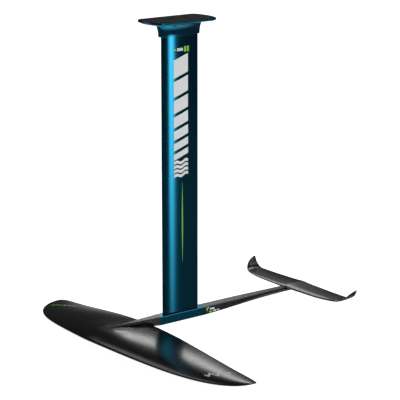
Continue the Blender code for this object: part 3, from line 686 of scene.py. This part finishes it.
def mast_outline(steps=72):
    """Round the section from the trailing edge over the port side and back."""
    stations = [(1.0 + math.cos(math.pi * i / steps)) / 2 for i in range(steps + 1)]
    port = [(mast_half_thickness(MAST_CHORD * (u - 0.5)), MAST_CHORD * (u - 0.5)) for u in stations]
    return port + [(-x, y) for x, y in reversed(port[:-1])]


def collar_ring(t, inset=0.0):
    """One ring of the flared collar: the mast's foil at t = 0, a broad oval at t = 1."""
    flare = 1.0 - math.sqrt(max(1.0 - t * t, 0.0))
    z = mix(COLLAR_BOTTOM, PLATE_BOTTOM + COLLAR_OVERLAP, t)
    outer = [(x, y + COLLAR_SHIFT) for x, y in offset_outline(mast_outline(56), COLLAR_WALL - inset)]
    half_width, half_length = COLLAR_FLARE
    ring = []
    for x, y in outer:
        angle = math.atan2(x / MAST_THICKNESS, y / MAST_CHORD)
        oval = (half_width * math.sin(angle), half_length * math.cos(angle) + COLLAR_SHIFT)
        ring.append((mix(x, oval[0], flare), mix(y, oval[1], flare), z))
    return ring


def build_head():
    """Plate, flared collar and socket, machined as one piece."""
    high = HEAD_HIGH.z
    chamfer = ((1.0, 0.0), (0.4, 0.42), (0.03125, 0.92), (0.0, 1.2))
    edge = [(PLATE_CHAMFER * inward, PLATE_BOTTOM + PLATE_CHAMFER * up) for inward, up in chamfer]
    edge += [(0.0, high - PLATE_EDGE), (PLATE_EDGE / 3, high - PLATE_EDGE / 3), (PLATE_EDGE, high)]
    head = loft("mast_head_machined", [level(plate_outline(inset), z) for inset, z in edge], BLUE)
    rings = [collar_ring(0.0, COLLAR_LIP)]
    for angle in even(0.0, math.pi / 2, 30):
        ring = collar_ring(math.sin(angle))
        rings.append([(x, y, max(z, COLLAR_BOTTOM + COLLAR_LIP)) for x, y, z in ring])
    carve(head, [loft("collar", rings)], "UNION")
    cavity = offset_outline(mast_outline(), GAP)
    tools = [prism("socket", cavity, COLLAR_BOTTOM - OVERSHOOT, SOCKET_TOP)]
    tools += slot_tools("head", PLATE_BOTTOM, high, SLOT_EASE[0])
    tools += [screw_hole(node, HEAD_HOLE, True) for node in HEAD_SCREWS]
    carve(head, tools)
    settle(head, "blue_anodised", "mast_head")


def build_top_sheet():
    """Thin black sheet between the plate and the board; its black is painted shade on the plate's top face.
    """
    low, high = PAD_LOW.z, PAD_HIGH.z
    inset = HEAD_HIGH.x - PAD_HIGH.x
    edge = [(inset + 0.4 * PAD_EDGE, low), (inset, low + 0.6 * PAD_EDGE), (inset, high - PAD_EDGE),
            (inset + 0.4 * PAD_EDGE, high - 0.3 * PAD_EDGE), (inset + PAD_EDGE, high)]
    pad = loft("plate_top_sheet", [level(plate_outline(extra), z) for extra, z in edge], BLACK_SHEET)
    tools = slot_tools("pad", low, high, SLOT_EASE[1])
    for node in HEAD_SCREWS:
        radius = M6[1] + PAD_HOLE_MARGIN
        tools.append(bore(f"{node}_pad", radius, screw_axis(node), low - OVERSHOOT, high + OVERSHOOT))
    carve(pad, tools)
    settle(pad, "black_rubber", "board_pad")


# --- Mast ---
def channel_outline(front, rear):
    port = [(mast_half_thickness(y) - MAST_WALL, y) for y in even(front, rear, 20)]
    return rounded(mirrored(port), CHANNEL_CORNER, 1)


def build_mast():
    """One extrusion with three channels; both cut ends have a broken edge."""
    low, high = MAST_LOW.z, MAST_HIGH.z
    outline = mast_outline()
    thin = 1.0 - MAST_EASE / (MAST_THICKNESS / 2)
    short = 1.0 - MAST_EASE / (MAST_CHORD / 2)
    inner = [(x * thin, y * short) for x, y in outline]
    rings = [level(inner, low), level(outline, low + MAST_EASE), level(outline, high - MAST_EASE),
             level(inner, high)]
    mast = loft("mast_extrusion", rings, BLUE)
    tools = []
    for number, (front, rear) in enumerate(MAST_CHANNELS):
        outline = channel_outline(front, rear)
        tools.append(prism(f"channel_{number}", outline, low - OVERSHOOT, high + OVERSHOOT))
    carve(mast, tools)
    settle(mast, "blue_anodised", "mast")


# --- Fuselage ---
def bar_ring(y, top, half, edge, waist, keel_half, keel):
    """A bar section: chamfered top edges, upright sides, then sides that cut in to the keel."""
    side = [(half - edge, top), (half, top - edge), (half, waist), (keel_half, keel)]
    return [(x, y, z) for x, z in rounded(mirrored(side), EDGE_ROUND)]


def tongue_station(y):
    return (y + FOOT_HALF_LENGTH) / (TONGUE_FRONT + FOOT_HALF_LENGTH)


def tongue_floor(y):
    """Height of the tongue's underside, which the wing's saddle follows."""
    return TOP - mix(TOP - KEEL, TONGUE_NOSE_HEIGHT, tongue_station(y))


def tongue_side(y, grow, top):
    """The tongue's half section, from its top flat down to its keel."""
    t = tongue_station(y)
    nose_half, nose_flat, nose_keel = TONGUE_NOSE
    half = mix(HALF_WIDTH, nose_half, t**TONGUE_TAPER) + grow
    flat = mix(HALF_WIDTH - TOP_EDGE, nose_flat, t)
    edge = half - grow - flat
    keel = tongue_floor(y) - grow
    drop = mix(TOP - KEEL - KEEL_EDGE, TONGUE_WAIST[0], smooth(t / TONGUE_WAIST[1]))
    waist = max(TOP - drop, keel + grow + TONGUE_LEDGE)
    keel_half = mix(HALF_WIDTH - KEEL_EDGE, nose_keel, smooth(t)) + grow
    shoulder = min(top, TOP) - edge * TONGUE_EDGE_SLOPE
    return [(flat + grow, top), (half, shoulder), (half, waist), (keel_half, keel)]


def tongue_ring(y, inset=0.0):
    side = tongue_side(y, -inset, TOP - inset)
    return [(x, y, z) for x, z in rounded(mirrored(side), EDGE_ROUND)]


def spigot_tool(node):
    """The socket that a spigot sits in, one gap wider all round."""
    low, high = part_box(node)
    outline = oblong(low.x - GAP, high.x + GAP, low.y - GAP, high.y + GAP)
    return prism(f"{node}_socket", outline, low.z - GAP, high.z + GAP)


def build_tongue():
    """The front part of the fuselage, which thins to a blade over the front wing."""
    start = TONGUE_HIGH.y
    rings = [tongue_ring(start, GAP)] + [tongue_ring(y) for y in even(start - GAP, TONGUE_FRONT, 48)]
    tongue = loft("front_fuselage_machined", rings, BLACK, MACHINED_SHARP)
    tools = [spigot_tool("front_spigot"), screw_hole("join_screw_tongue", JOIN_HOLE)]
    for node in WING_SCREWS:
        low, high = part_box(node)
        tools.append(bore(f"{node}_bore", M6[0] + GAP, screw_axis(node), low.z - OVERSHOOT, high.z + 0.001))
    carve(tongue, tools, sharp=MACHINED_SHARP)
    settle(tongue, "black_anodised", "front_fuselage")


def foot_ring(y, inset):
    half = HALF_WIDTH - inset
    return bar_ring(y, TOP - inset, half, FOOT_EDGE, KEEL + KEEL_EDGE, half - KEEL_EDGE, KEEL + inset)


def build_foot():
    """The middle part of the fuselage, which the mast stands on."""
    rings = [foot_ring(-FOOT_HALF_LENGTH, GAP), foot_ring(-FOOT_HALF_LENGTH + GAP, 0.0)]
    rings += [foot_ring(FOOT_HALF_LENGTH - GAP, 0.0), foot_ring(FOOT_HALF_LENGTH, GAP)]
    foot = loft("mast_foot_machined", rings, BLUE, MACHINED_SHARP)
    tools = [spigot_tool("front_spigot"), spigot_tool("rear_spigot")]
    tools += [screw_hole(node, TOP - KEEL + OVERSHOOT) for node in FOOT_SCREWS]
    tools += [screw_hole(node, JOIN_HOLE) for node in JOIN_SCREWS[1:3]]
    carve(foot, tools, sharp=MACHINED_SHARP)
    settle(foot, "blue_anodised", "mast_foot")


def boom_station(y):
    return (y - FOOT_HALF_LENGTH) / (BOOM_SHOULDER - FOOT_HALF_LENGTH)


def boom_keel(y):
    return TOP - mix(BOOM_TAIL_HEIGHT, TOP - KEEL, max(1.0 - boom_station(y), 0.0) ** BOOM_SWEEP)


def boom_blend(y, a, b, over):
    """Fair curve from a to b that starts at a station and runs over a length."""
    start, length = over
    return mix(a, b, smooth((boom_station(y) - start) / length))


def boom_ring(y, inset=0.0):
    keel = boom_keel(y) + inset
    half = boom_blend(y, HALF_WIDTH, BOOM_TAIL_HALF_WIDTH, BOOM_NARROWING) - inset
    waist = boom_blend(y, keel + KEEL_EDGE, TOP - BOOM_TAIL_WAIST, BOOM_WAIST_RISE)
    keel_half = boom_blend(y, HALF_WIDTH - KEEL_EDGE, BOOM_TAIL_KEEL, BOOM_KEEL_NARROWING) - inset
    return bar_ring(y, TOP - inset, half, TOP_EDGE, waist, keel_half, keel)


def build_boom():
    """The rear part of the fuselage, stepped down at its end for the tail wing."""
    start = BOOM_LOW.y
    rings = [boom_ring(start, GAP)] + [boom_ring(y) for y in even(start + GAP, BOOM_END - GAP, 64)]
    rings.append(boom_ring(BOOM_END, GAP))
    boom = loft("rear_fuselage_machined", rings, BLACK, MACHINED_SHARP)
    side = HALF_WIDTH + OVERSHOOT
    seat = oblong(-side, side, BOOM_SHOULDER, BOOM_END + OVERSHOOT)
    tools = [prism("seat", seat, TOP - SEAT_DROP, TOP + OVERSHOOT), spigot_tool("rear_spigot")]
    tools += [screw_hole(node, TAIL_HOLE) for node in ("join_screw_boom", *TAIL_SCREWS)]
    carve(boom, tools, sharp=MACHINED_SHARP)
    settle(boom, "black_anodised", "rear_fuselage")


# --- Front wing ---
def foil_half_thickness(u):
    """Half thickness of a wing section per unit chord and unit thickness."""
    return 5.0 * (0.2969 * math.sqrt(u) - 0.1260 * u - 0.3516 * u**2 + 0.2843 * u**3 - 0.1015 * u**4)


def foil_stations(steps):
    return [(1.0 - math.cos(math.pi * i / steps)) / 2 for i in range(steps + 1)]


def wing_edges(x):
    """Leading and trailing edge Y, and the chord line's two heights, at a span station."""
    t = min(abs(x) / WING_HALF_SPAN, 1.0)
    power, root = WING_LEADING_POWERS
    leading = mix(WING_TIP_Y, WING_ROOT_LEADING, (1.0 - t**power) ** (1 / root))
    power, root = WING_TRAILING_POWERS
    fullness = (1.0 - t**power) ** (1 / root)
    swept = WING_ROOT_TRAILING + WING_SWEEP[0] * t**2 + WING_SWEEP[1] * t**4
    trailing = mix(WING_TIP_Y, swept, fullness)
    height = TOP - WING_ROOT_DROP - WING_DROOP[0] * t**2 - WING_DROOP[1] * t**4
    return leading, trailing, height, height - WING_WASHOUT * fullness


def wing_skins(x, u):
    """Y, upper height and lower height of the wing at a span station and chord share."""
    leading, trailing, z_leading, z_trailing = wing_edges(x)
    chord = trailing - leading
    thin = WING_THICKNESS * mix(1.0, WING_TIP_THICKNESS, abs(x) / WING_HALF_SPAN)
    y = mix(leading, trailing, u)
    half = foil_half_thickness(u) * thin * chord
    middle = mix(z_leading, z_trailing, u) + 4.0 * WING_CAMBER * chord * u * (1.0 - u)
    saddle = min(tongue_floor(y) + SADDLE_LIP, TOP - SADDLE_TOP)
    lift = max(saddle - (middle + half), 0.0)
    lift *= 1.0 - smooth((abs(x) - SADDLE_HALF_WIDTH) / SADDLE_BLEND)
    lift *= smooth(u / SADDLE_FADE) * smooth((1.0 - u) / SADDLE_FADE)
    return y, middle + half + lift, middle - half


def wing_ring(x, steps):
    skins = [wing_skins(x, u) for u in foil_stations(steps)]
    over = [(x, y, upper) for y, upper, _ in skins]
    under = [(x, y, lower) for y, _, lower in skins]
    return over[::-1] + under[1:]


def wing_stations():
    """Close stations over the saddle, then wider ones that crowd again at the tips."""
    inner = [0.0030 * i for i in range(22)]
    first = math.asin(inner[-1] / WING_HALF_SPAN)
    last = math.asin(WING_REACH / WING_HALF_SPAN)
    half = inner + [WING_HALF_SPAN * math.sin(angle) for angle in even(first, last, 56)[1:]]
    return [-x for x in reversed(half[1:])] + half


def wing_recess():
    """The pocket that the tongue lies in, one gap wider and open at the top."""
    rings = []
    for y in even(RECESS_REAR, TONGUE_FRONT - GAP, 40):
        side = tongue_side(y, GAP, TOP + OVERSHOOT)
        rings.append([(x, y, z) for x, z in mirrored(side)])
    return loft("recess", rings)


def ferrule_pocket(node, screw):
    low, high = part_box(node)
    radius = (high.x - low.x) / 2 + GAP
    flange = FERRULE_FLANGE + GAP
    shank = FERRULE_SHANK + GAP
    length = high.z - low.z + GAP
    profile = [(radius, -0.006), (radius, flange), (shank, flange), (shank, length)]
    profile += [(M6[0] + GAP, length), (M6[0] + GAP, 0.05)]
    return turned(f"{node}_pocket", profile, (*screw_axis(screw), low.z))


def build_wing():
    wing = loft("front_wing_skin", [wing_ring(x, 52) for x in wing_stations()], LAMINATE)
    pairs = list(zip(FERRULES, WING_SCREWS))
    carve(wing, [wing_recess()] + [ferrule_pocket(node, screw) for node, screw in pairs])
    settle(wing, "black_laminate", "front_wing")
    for node, screw in pairs:
        build_ferrule(node, screw)


def build_ferrule(node, screw):
    """A stepped steel ferrule with a broken outer edge and a countersunk seat."""
    low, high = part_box(node)
    radius = (high.x - low.x) / 2
    length = high.z - low.z
    small = HEAD_ROUND / 3
    profile = [(radius - HEAD_ROUND, 0.0), (radius - small, small), (radius, HEAD_ROUND)]
    profile += [(radius, FERRULE_FLANGE), (FERRULE_SHANK, FERRULE_FLANGE), (FERRULE_SHANK, length)]
    ferrule = turned(f"{node}_turned", profile, (*screw_axis(screw), low.z), finish=STEEL, sides=64)
    carve(ferrule, [screw_hole(screw, length + OVERSHOOT, sides=64)])
    settle(ferrule, "stainless", node)


# --- Tail wing ---
def tail_path(s):
    """Span station s along the half wing, as (x, z, slope): flat, then bent up to the winglet."""
    if s <= TAIL_BEND_START:
        return s, 0.0, 0.0
    bent = min((s - TAIL_BEND_START) / TAIL_BEND_RADIUS, TAIL_BEND_ANGLE)
    x = TAIL_BEND_START + TAIL_BEND_RADIUS * math.sin(bent)
    z = TAIL_BEND_RADIUS * (1.0 - math.cos(bent))
    beyond = max(s - TAIL_BEND_START - TAIL_BEND_RADIUS * TAIL_BEND_ANGLE, 0.0)
    return x + beyond * math.cos(bent), z + beyond * math.sin(bent), bent


def tail_length():
    """Length along the half wing, from the centre line round to the winglet's tip."""
    x_bent = TAIL_BEND_START + TAIL_BEND_RADIUS * math.sin(TAIL_BEND_ANGLE)
    straight = (TAIL_HALF_SPAN - x_bent) / math.cos(TAIL_BEND_ANGLE)
    return TAIL_BEND_START + TAIL_BEND_RADIUS * TAIL_BEND_ANGLE + straight


def tail_ring(s, side, steps=40):
    t = s / tail_length()
    x, rise, slope = tail_path(s)
    trailing = TAIL_TRAILING - TAIL_NOTCH[0] * (1.0 - smooth(s / TAIL_NOTCH[1]))
    leading = trailing - TAIL_CHORD * (1.0 - t ** TAIL_TIP_POWERS[0]) ** (1 / TAIL_TIP_POWERS[1])
    chord = trailing - leading
    peak = max(1.0 - s / TAIL_RIDGE, 0.0) ** 2
    ends = zip(TAIL_DROP, TAIL_RIDGE_RISE)
    z_leading, z_trailing = (TOP - drop + lift * peak + rise for drop, lift in ends)
    over = []
    under = []
    for u in foil_stations(steps):
        y = mix(leading, trailing, u)
        half = foil_half_thickness(u) * TAIL_THICKNESS * chord
        middle = mix(z_leading, z_trailing, u)
        for points, way in ((over, 1.0), (under, -1.0)):
            out = half * way
            points.append((side * (x - out * math.sin(slope)), y, middle + out * math.cos(slope)))
    return over[::-1] + under[1:]


def build_tail():
    last = tail_length() * TAIL_END
    flat = [TAIL_BEND_START * i / 30 for i in range(30)]
    bent = [mix(TAIL_BEND_START, last, math.sin(angle)) for angle in even(0.0, math.pi / 2, 40)]
    half = flat + bent
    rings = [tail_ring(s, -1) for s in reversed(half[1:])] + [tail_ring(s, 1) for s in half]
    tail = loft("tail_wing_skin", rings, LAMINATE)
    wide = BOOM_TAIL_HALF_WIDTH - TAIL_FOOT_CLEARANCE
    front = BOOM_SHOULDER + GAP
    port = [(wide, front), (wide, BOOM_END - TAIL_FOOT_BEVEL), (wide * 0.5, BOOM_END)]
    base = rounded(mirrored(port), TAIL_FOOT_CORNER)
    middle = (BOOM_SHOULDER + BOOM_END) / 2 + 0.01
    narrow, short = TAIL_FOOT_TAPER
    crown = [(x * narrow, mix(middle, y, short)) for x, y in base]
    foot = loft("foot", [level(base, TAIL_SEAT), level(crown, TOP - 0.0012)])
    carve(tail, [foot], "UNION")
    tools = []
    for node, insert in zip(TAIL_SCREWS, TAIL_INSERTS):
        low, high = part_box(insert)
        radius = (high.x - low.x) / 2 + GAP
        tools.append(bore(f"{insert}_bore", radius, screw_axis(node), low.z - OVERSHOOT, high.z + GAP))
    carve(tail, tools)
    crease(tail.data)
    settle(tail, "black_laminate", "tail_wing")


def crease(mesh):
    """Keep the ridge over the tail wing's centre line crisp."""
    for edge in mesh.edges:
        ends = [mesh.vertices[v].co for v in edge.vertices]
        if all(abs(p.x) < 1e-5 and p.z > TOP - 0.004 for p in ends):
            edge.use_edge_sharp = True


# --- Printed marks ---
def mast_point(y, z):
    """Point and outward normal on the mast's port side."""
    step = 0.0002
    here = mast_half_thickness(y)
    slope = (mast_half_thickness(y + step) - here) / step
    return Vector((here, y, z)), Vector((1.0, -slope, 0.0)).normalized()


def wing_top(x, y):
    leading, trailing, _, _ = wing_edges(x)
    return wing_skins(x, (y - leading) / (trailing - leading))[1]


def wing_point(x, y):
    """Point and outward normal on the front wing's upper skin."""
    step = 0.0002
    z = wing_top(x, y)
    normal = Vector((z - wing_top(x + step, y), z - wing_top(x, y + step), step))
    return Vector((x, y, z)), normal.normalized()


def boom_point(y, z):
    """Point and outward normal on the rear fuselage's port side."""
    ring = boom_ring(y)
    return Vector((max(point[0] for point in ring), y, z)), Vector((1.0, 0.0, 0.0))


def film(bm, surface, start, end, low, high, steps):
    """A closed film of ink over a patch: a runs from start to end, b from low(a) to high(a)."""
    rings = []
    for a in even(start, end, steps):
        grid = [surface(a, b) for b in even(low(a), high(a), 2)]
        fronts = [point + normal * PRINT_RISE for point, normal in grid]
        backs = [point - normal * PRINT_ROOT for point, normal in grid]
        rings.append(fronts + backs[::-1])
    skin(bm, rings)


def add_print(name, bm, ink):
    return settle(add_mesh(name, bm, ink, 40.0), None)


def slanted(value, middle, slope):
    return lambda a: value + (a - middle) * slope


def wavy(value, start, length, swing, slope):
    """A wave of a given length and swing about a line that starts at a value."""
    return lambda a: value + (a - start) * slope + swing * math.sin(2.0 * math.pi * (a - start) / length)


def patch(bm, surface, start, end, value, width, slope=0.0):
    """A small parallelogram: its edges follow a line with a slope from a value at its start."""
    low, high = (slanted(value + side * width / 2, start, slope) for side in (-1, 1))
    film(bm, surface, start, end, low, high, 6)


def build_mast_bars():
    """Plain leaning bars that shorten down the mast's port side."""
    bm = bmesh.new()
    z = BARS_TOP
    for height in BAR_HEIGHTS:
        low, high = (slanted(edge, BARS_MIDDLE, BARS_LEAN) for edge in (z - height, z))
        film(bm, mast_point, BARS_MIDDLE - BARS_HALF, BARS_MIDDLE + BARS_HALF, low, high, 18)
        z -= height + BAR_SPACE
    add_print("mast_bars", bm, WHITE_INK)


def build_mast_waves():
    bm = bmesh.new()
    start = BARS_MIDDLE - BARS_HALF
    for row in range(4):
        z = WAVES_TOP - WAVES_STEP * row
        low, high = (wavy(z + side * WAVE_HALF_HEIGHT, start, *WAVE) for side in (-1, 1))
        film(bm, mast_point, start, BARS_MIDDLE + BARS_HALF, low, high, 32)
    add_print("mast_waves", bm, WHITE_INK)


def build_ticks(name, surface, ticks, ink):
    bm = bmesh.new()
    for tick in ticks:
        patch(bm, surface, *tick)
    add_print(name, bm, ink)


def build_mast_ticks():
    """A row of small ticks under the collar, and a fine needle of green further down."""
    build_ticks("mast_ticks_white", mast_point, MAST_WHITE_TICKS, WHITE_INK)
    build_ticks("mast_ticks_green", mast_point, MAST_GREEN_TICKS, GREEN_INK)
    needle = bmesh.new()
    top, bottom = NEEDLE_ENDS
    ends, swell = NEEDLE_HALF_WIDTHS

    def half_width(z):
        return ends + swell * math.sin(math.pi * (z - top) / (bottom - top))

    film(needle, lambda z, y: mast_point(y, z), top, bottom, lambda z: NEEDLE_Y - half_width(z),
         lambda z: NEEDLE_Y + half_width(z), 48)
    add_print("mast_needle", needle, GREEN_INK)


def wing_ticks(starts, width):
    first, y, slope = WING_ROW
    return [(x, x + WING_TICK, y + slope * (x - first), width, slope) for x in starts]


def build_wing_marks():
    """Ticks near the starboard tip, a wave and a dash along the chord near the port tip."""
    green_width, white_width = WING_TICK_WIDTHS
    build_ticks("wing_ticks_green", wing_point, wing_ticks(WING_GREEN_TICKS, green_width), GREEN_INK)
    build_ticks("wing_ticks_white", wing_point, wing_ticks(WING_WHITE_TICKS, white_width), WHITE_INK)
    chordwise = bmesh.new()

    def across(y, x):
        return wing_point(x, y)

    start, end = WING_WAVE_ENDS
    low, high = (wavy(WING_WAVE_X + side * WING_WAVE_HALF_WIDTH, start, *WING_WAVE) for side in (-1, 1))
    film(chordwise, across, start, end, low, high, 40)
    patch(chordwise, across, *WING_DASH)
    add_print("wing_wave", chordwise, WHITE_INK)


def build_boom_marks():
    """Ticks on the port side of the rear fuselage, beside the mast foot."""
    build_ticks("boom_ticks_green", boom_point, BOOM_GREEN_TICKS, GREEN_INK)
    build_ticks("boom_ticks_white", boom_point, BOOM_WHITE_TICKS, WHITE_INK)


def repaint(node, finish):
    """Give a CAD node that stays in view its finished material."""
    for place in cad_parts[node].material_slots:
        place.material = finish


# --- Studio ---
def build_floor():
    """A plain pale floor under the wings."""
    half = FLOOR_HALF_SIZE
    plane = level(oblong(-half, half, -half, half), CAD_BOX[0].z - FLOOR_GAP)
    mesh = bpy.data.meshes.new("floor")
    mesh.from_pydata(plane, [], [(0, 1, 2, 3)])
    floor = add_object("floor", mesh)
    finish, _, shader = shader_of("floor_white", (0.93, 0.93, 0.93), 0.9)
    fill(shader, Specular_IOR_Level=0.0, Emission_Color=WHITE, Emission_Strength=0.95)
    mesh.materials.append(finish)
    floor.visible_glossy = False
    floor.visible_shadow = False


def aim(azimuth, elevation):
    """Unit direction towards a place in the sky, from degrees."""
    a, e = math.radians(azimuth), math.radians(elevation)
    return Vector((math.cos(a) * math.cos(e), math.sin(a) * math.cos(e), math.sin(e)))


def glow(tree, direction, lobe):
    """A soft round patch of light in the reflected surroundings."""
    azimuth, elevation, inner, outer, radiance = lobe
    near = add_node(tree, "VectorMath", direction, aim(azimuth, elevation))
    near.operation = "DOT_PRODUCT"
    edge, core = (math.cos(math.radians(radius)) for radius in (outer, inner))
    fade = add_node(tree, "MapRange", near.outputs["Value"], From_Min=edge, From_Max=core, To_Max=radiance)
    fade.interpolation_type = "SMOOTHSTEP"
    return fade.outputs["Result"]


def base_light(tree, direction):
    """Light that depends only on height: bright below, dim at the horizon and above."""
    split = add_node(tree, "SeparateXYZ", direction)
    lift = add_node(tree, "MapRange", split.outputs["Z"], From_Min=-1.0)
    ramp = add_node(tree, "ValToRGB", lift.outputs["Result"])
    elements = ramp.color_ramp.elements
    while len(elements) < len(BASE_LIGHT):
        elements.new(0.5)
    for element, (place, value) in zip(elements, BASE_LIGHT):
        element.position = place
        element.color = (value, value, value, 1.0)
    return ramp.outputs["Color"]


def build_world():
    """White to the eye; soft patches of light on a dim ground in reflections."""
    world = bpy.data.worlds.new("studio")
    bpy.context.scene.world = world
    world.use_nodes = True
    tree = world.node_tree
    tree.nodes.clear()
    direction = add_node(tree, "TexCoord").outputs["Generated"]
    light = base_light(tree, direction)
    for lobe in GLOWS:
        total = add_node(tree, "Math", light, glow(tree, direction, lobe))
        total.operation = "ADD"
        light = total.outputs["Value"]
    seen = add_node(tree, "Background", WHITE).outputs["Background"]
    reflected = add_node(tree, "Background", WHITE, light).outputs["Background"]
    straight = add_node(tree, "LightPath").outputs["Is Camera Ray"]
    pick = add_node(tree, "MixShader", straight, reflected, seen)
    add_node(tree, "OutputWorld", pick.outputs["Shader"])


def build_box():
    """A flat lamp that the wings mirror; it is near, so each wing sees it from its own side."""
    target, azimuth, elevation, distance, (width, height), radiance = WING_BOX
    way = aim(azimuth, elevation)
    lamp = bpy.data.lights.new("wing_box", "AREA")
    lamp.shape = "RECTANGLE"
    lamp.size = width
    lamp.size_y = height
    lamp.energy = radiance * math.pi * width * height
    made = add_object("wing_box", lamp)
    made.location = Vector(target) + way * distance
    made.rotation_euler = (-way).to_track_quat("-Z", "Y").to_euler()
    made.visible_camera = False


def build_camera():
    data = bpy.data.cameras.new("camera")
    data.lens = CAMERA_LENS
    data.sensor_width = CAMERA_SENSOR
    camera = add_object("camera", data)
    camera.location = CAMERA_PLACE
    camera.rotation_euler = (math.pi / 2 - CAMERA_PITCH, 0.0, CAMERA_HEADING - math.pi / 2)
    bpy.context.scene.camera = camera


def main():
    build_head()
    build_top_sheet()
    build_mast()
    build_foot()
    build_tongue()
    build_boom()
    build_wing()
    build_tail()
    for node in HEAD_SCREWS:
        build_screw(node, True)
    for node in FOOT_SCREWS + JOIN_SCREWS + WING_SCREWS + TAIL_SCREWS:
        build_screw(node, False)
    for node in ("head_plug", "foot_plug", "front_spigot", "rear_spigot"):
        repaint(node, ALLOY)
    for node in TAIL_INSERTS:
        repaint(node, BRASS)
    # The thin piece between mast and foot is drawn black: a dark band at the mast's base.
    repaint("foot_gasket", BLACK_SHEET)
    build_mast_bars()
    build_mast_waves()
    build_mast_ticks()
    build_wing_marks()
    build_boom_marks()
    build_floor()
    build_world()
    build_box()
    build_camera()
    bpy.context.scene.view_settings.view_transform = "Standard"


main()
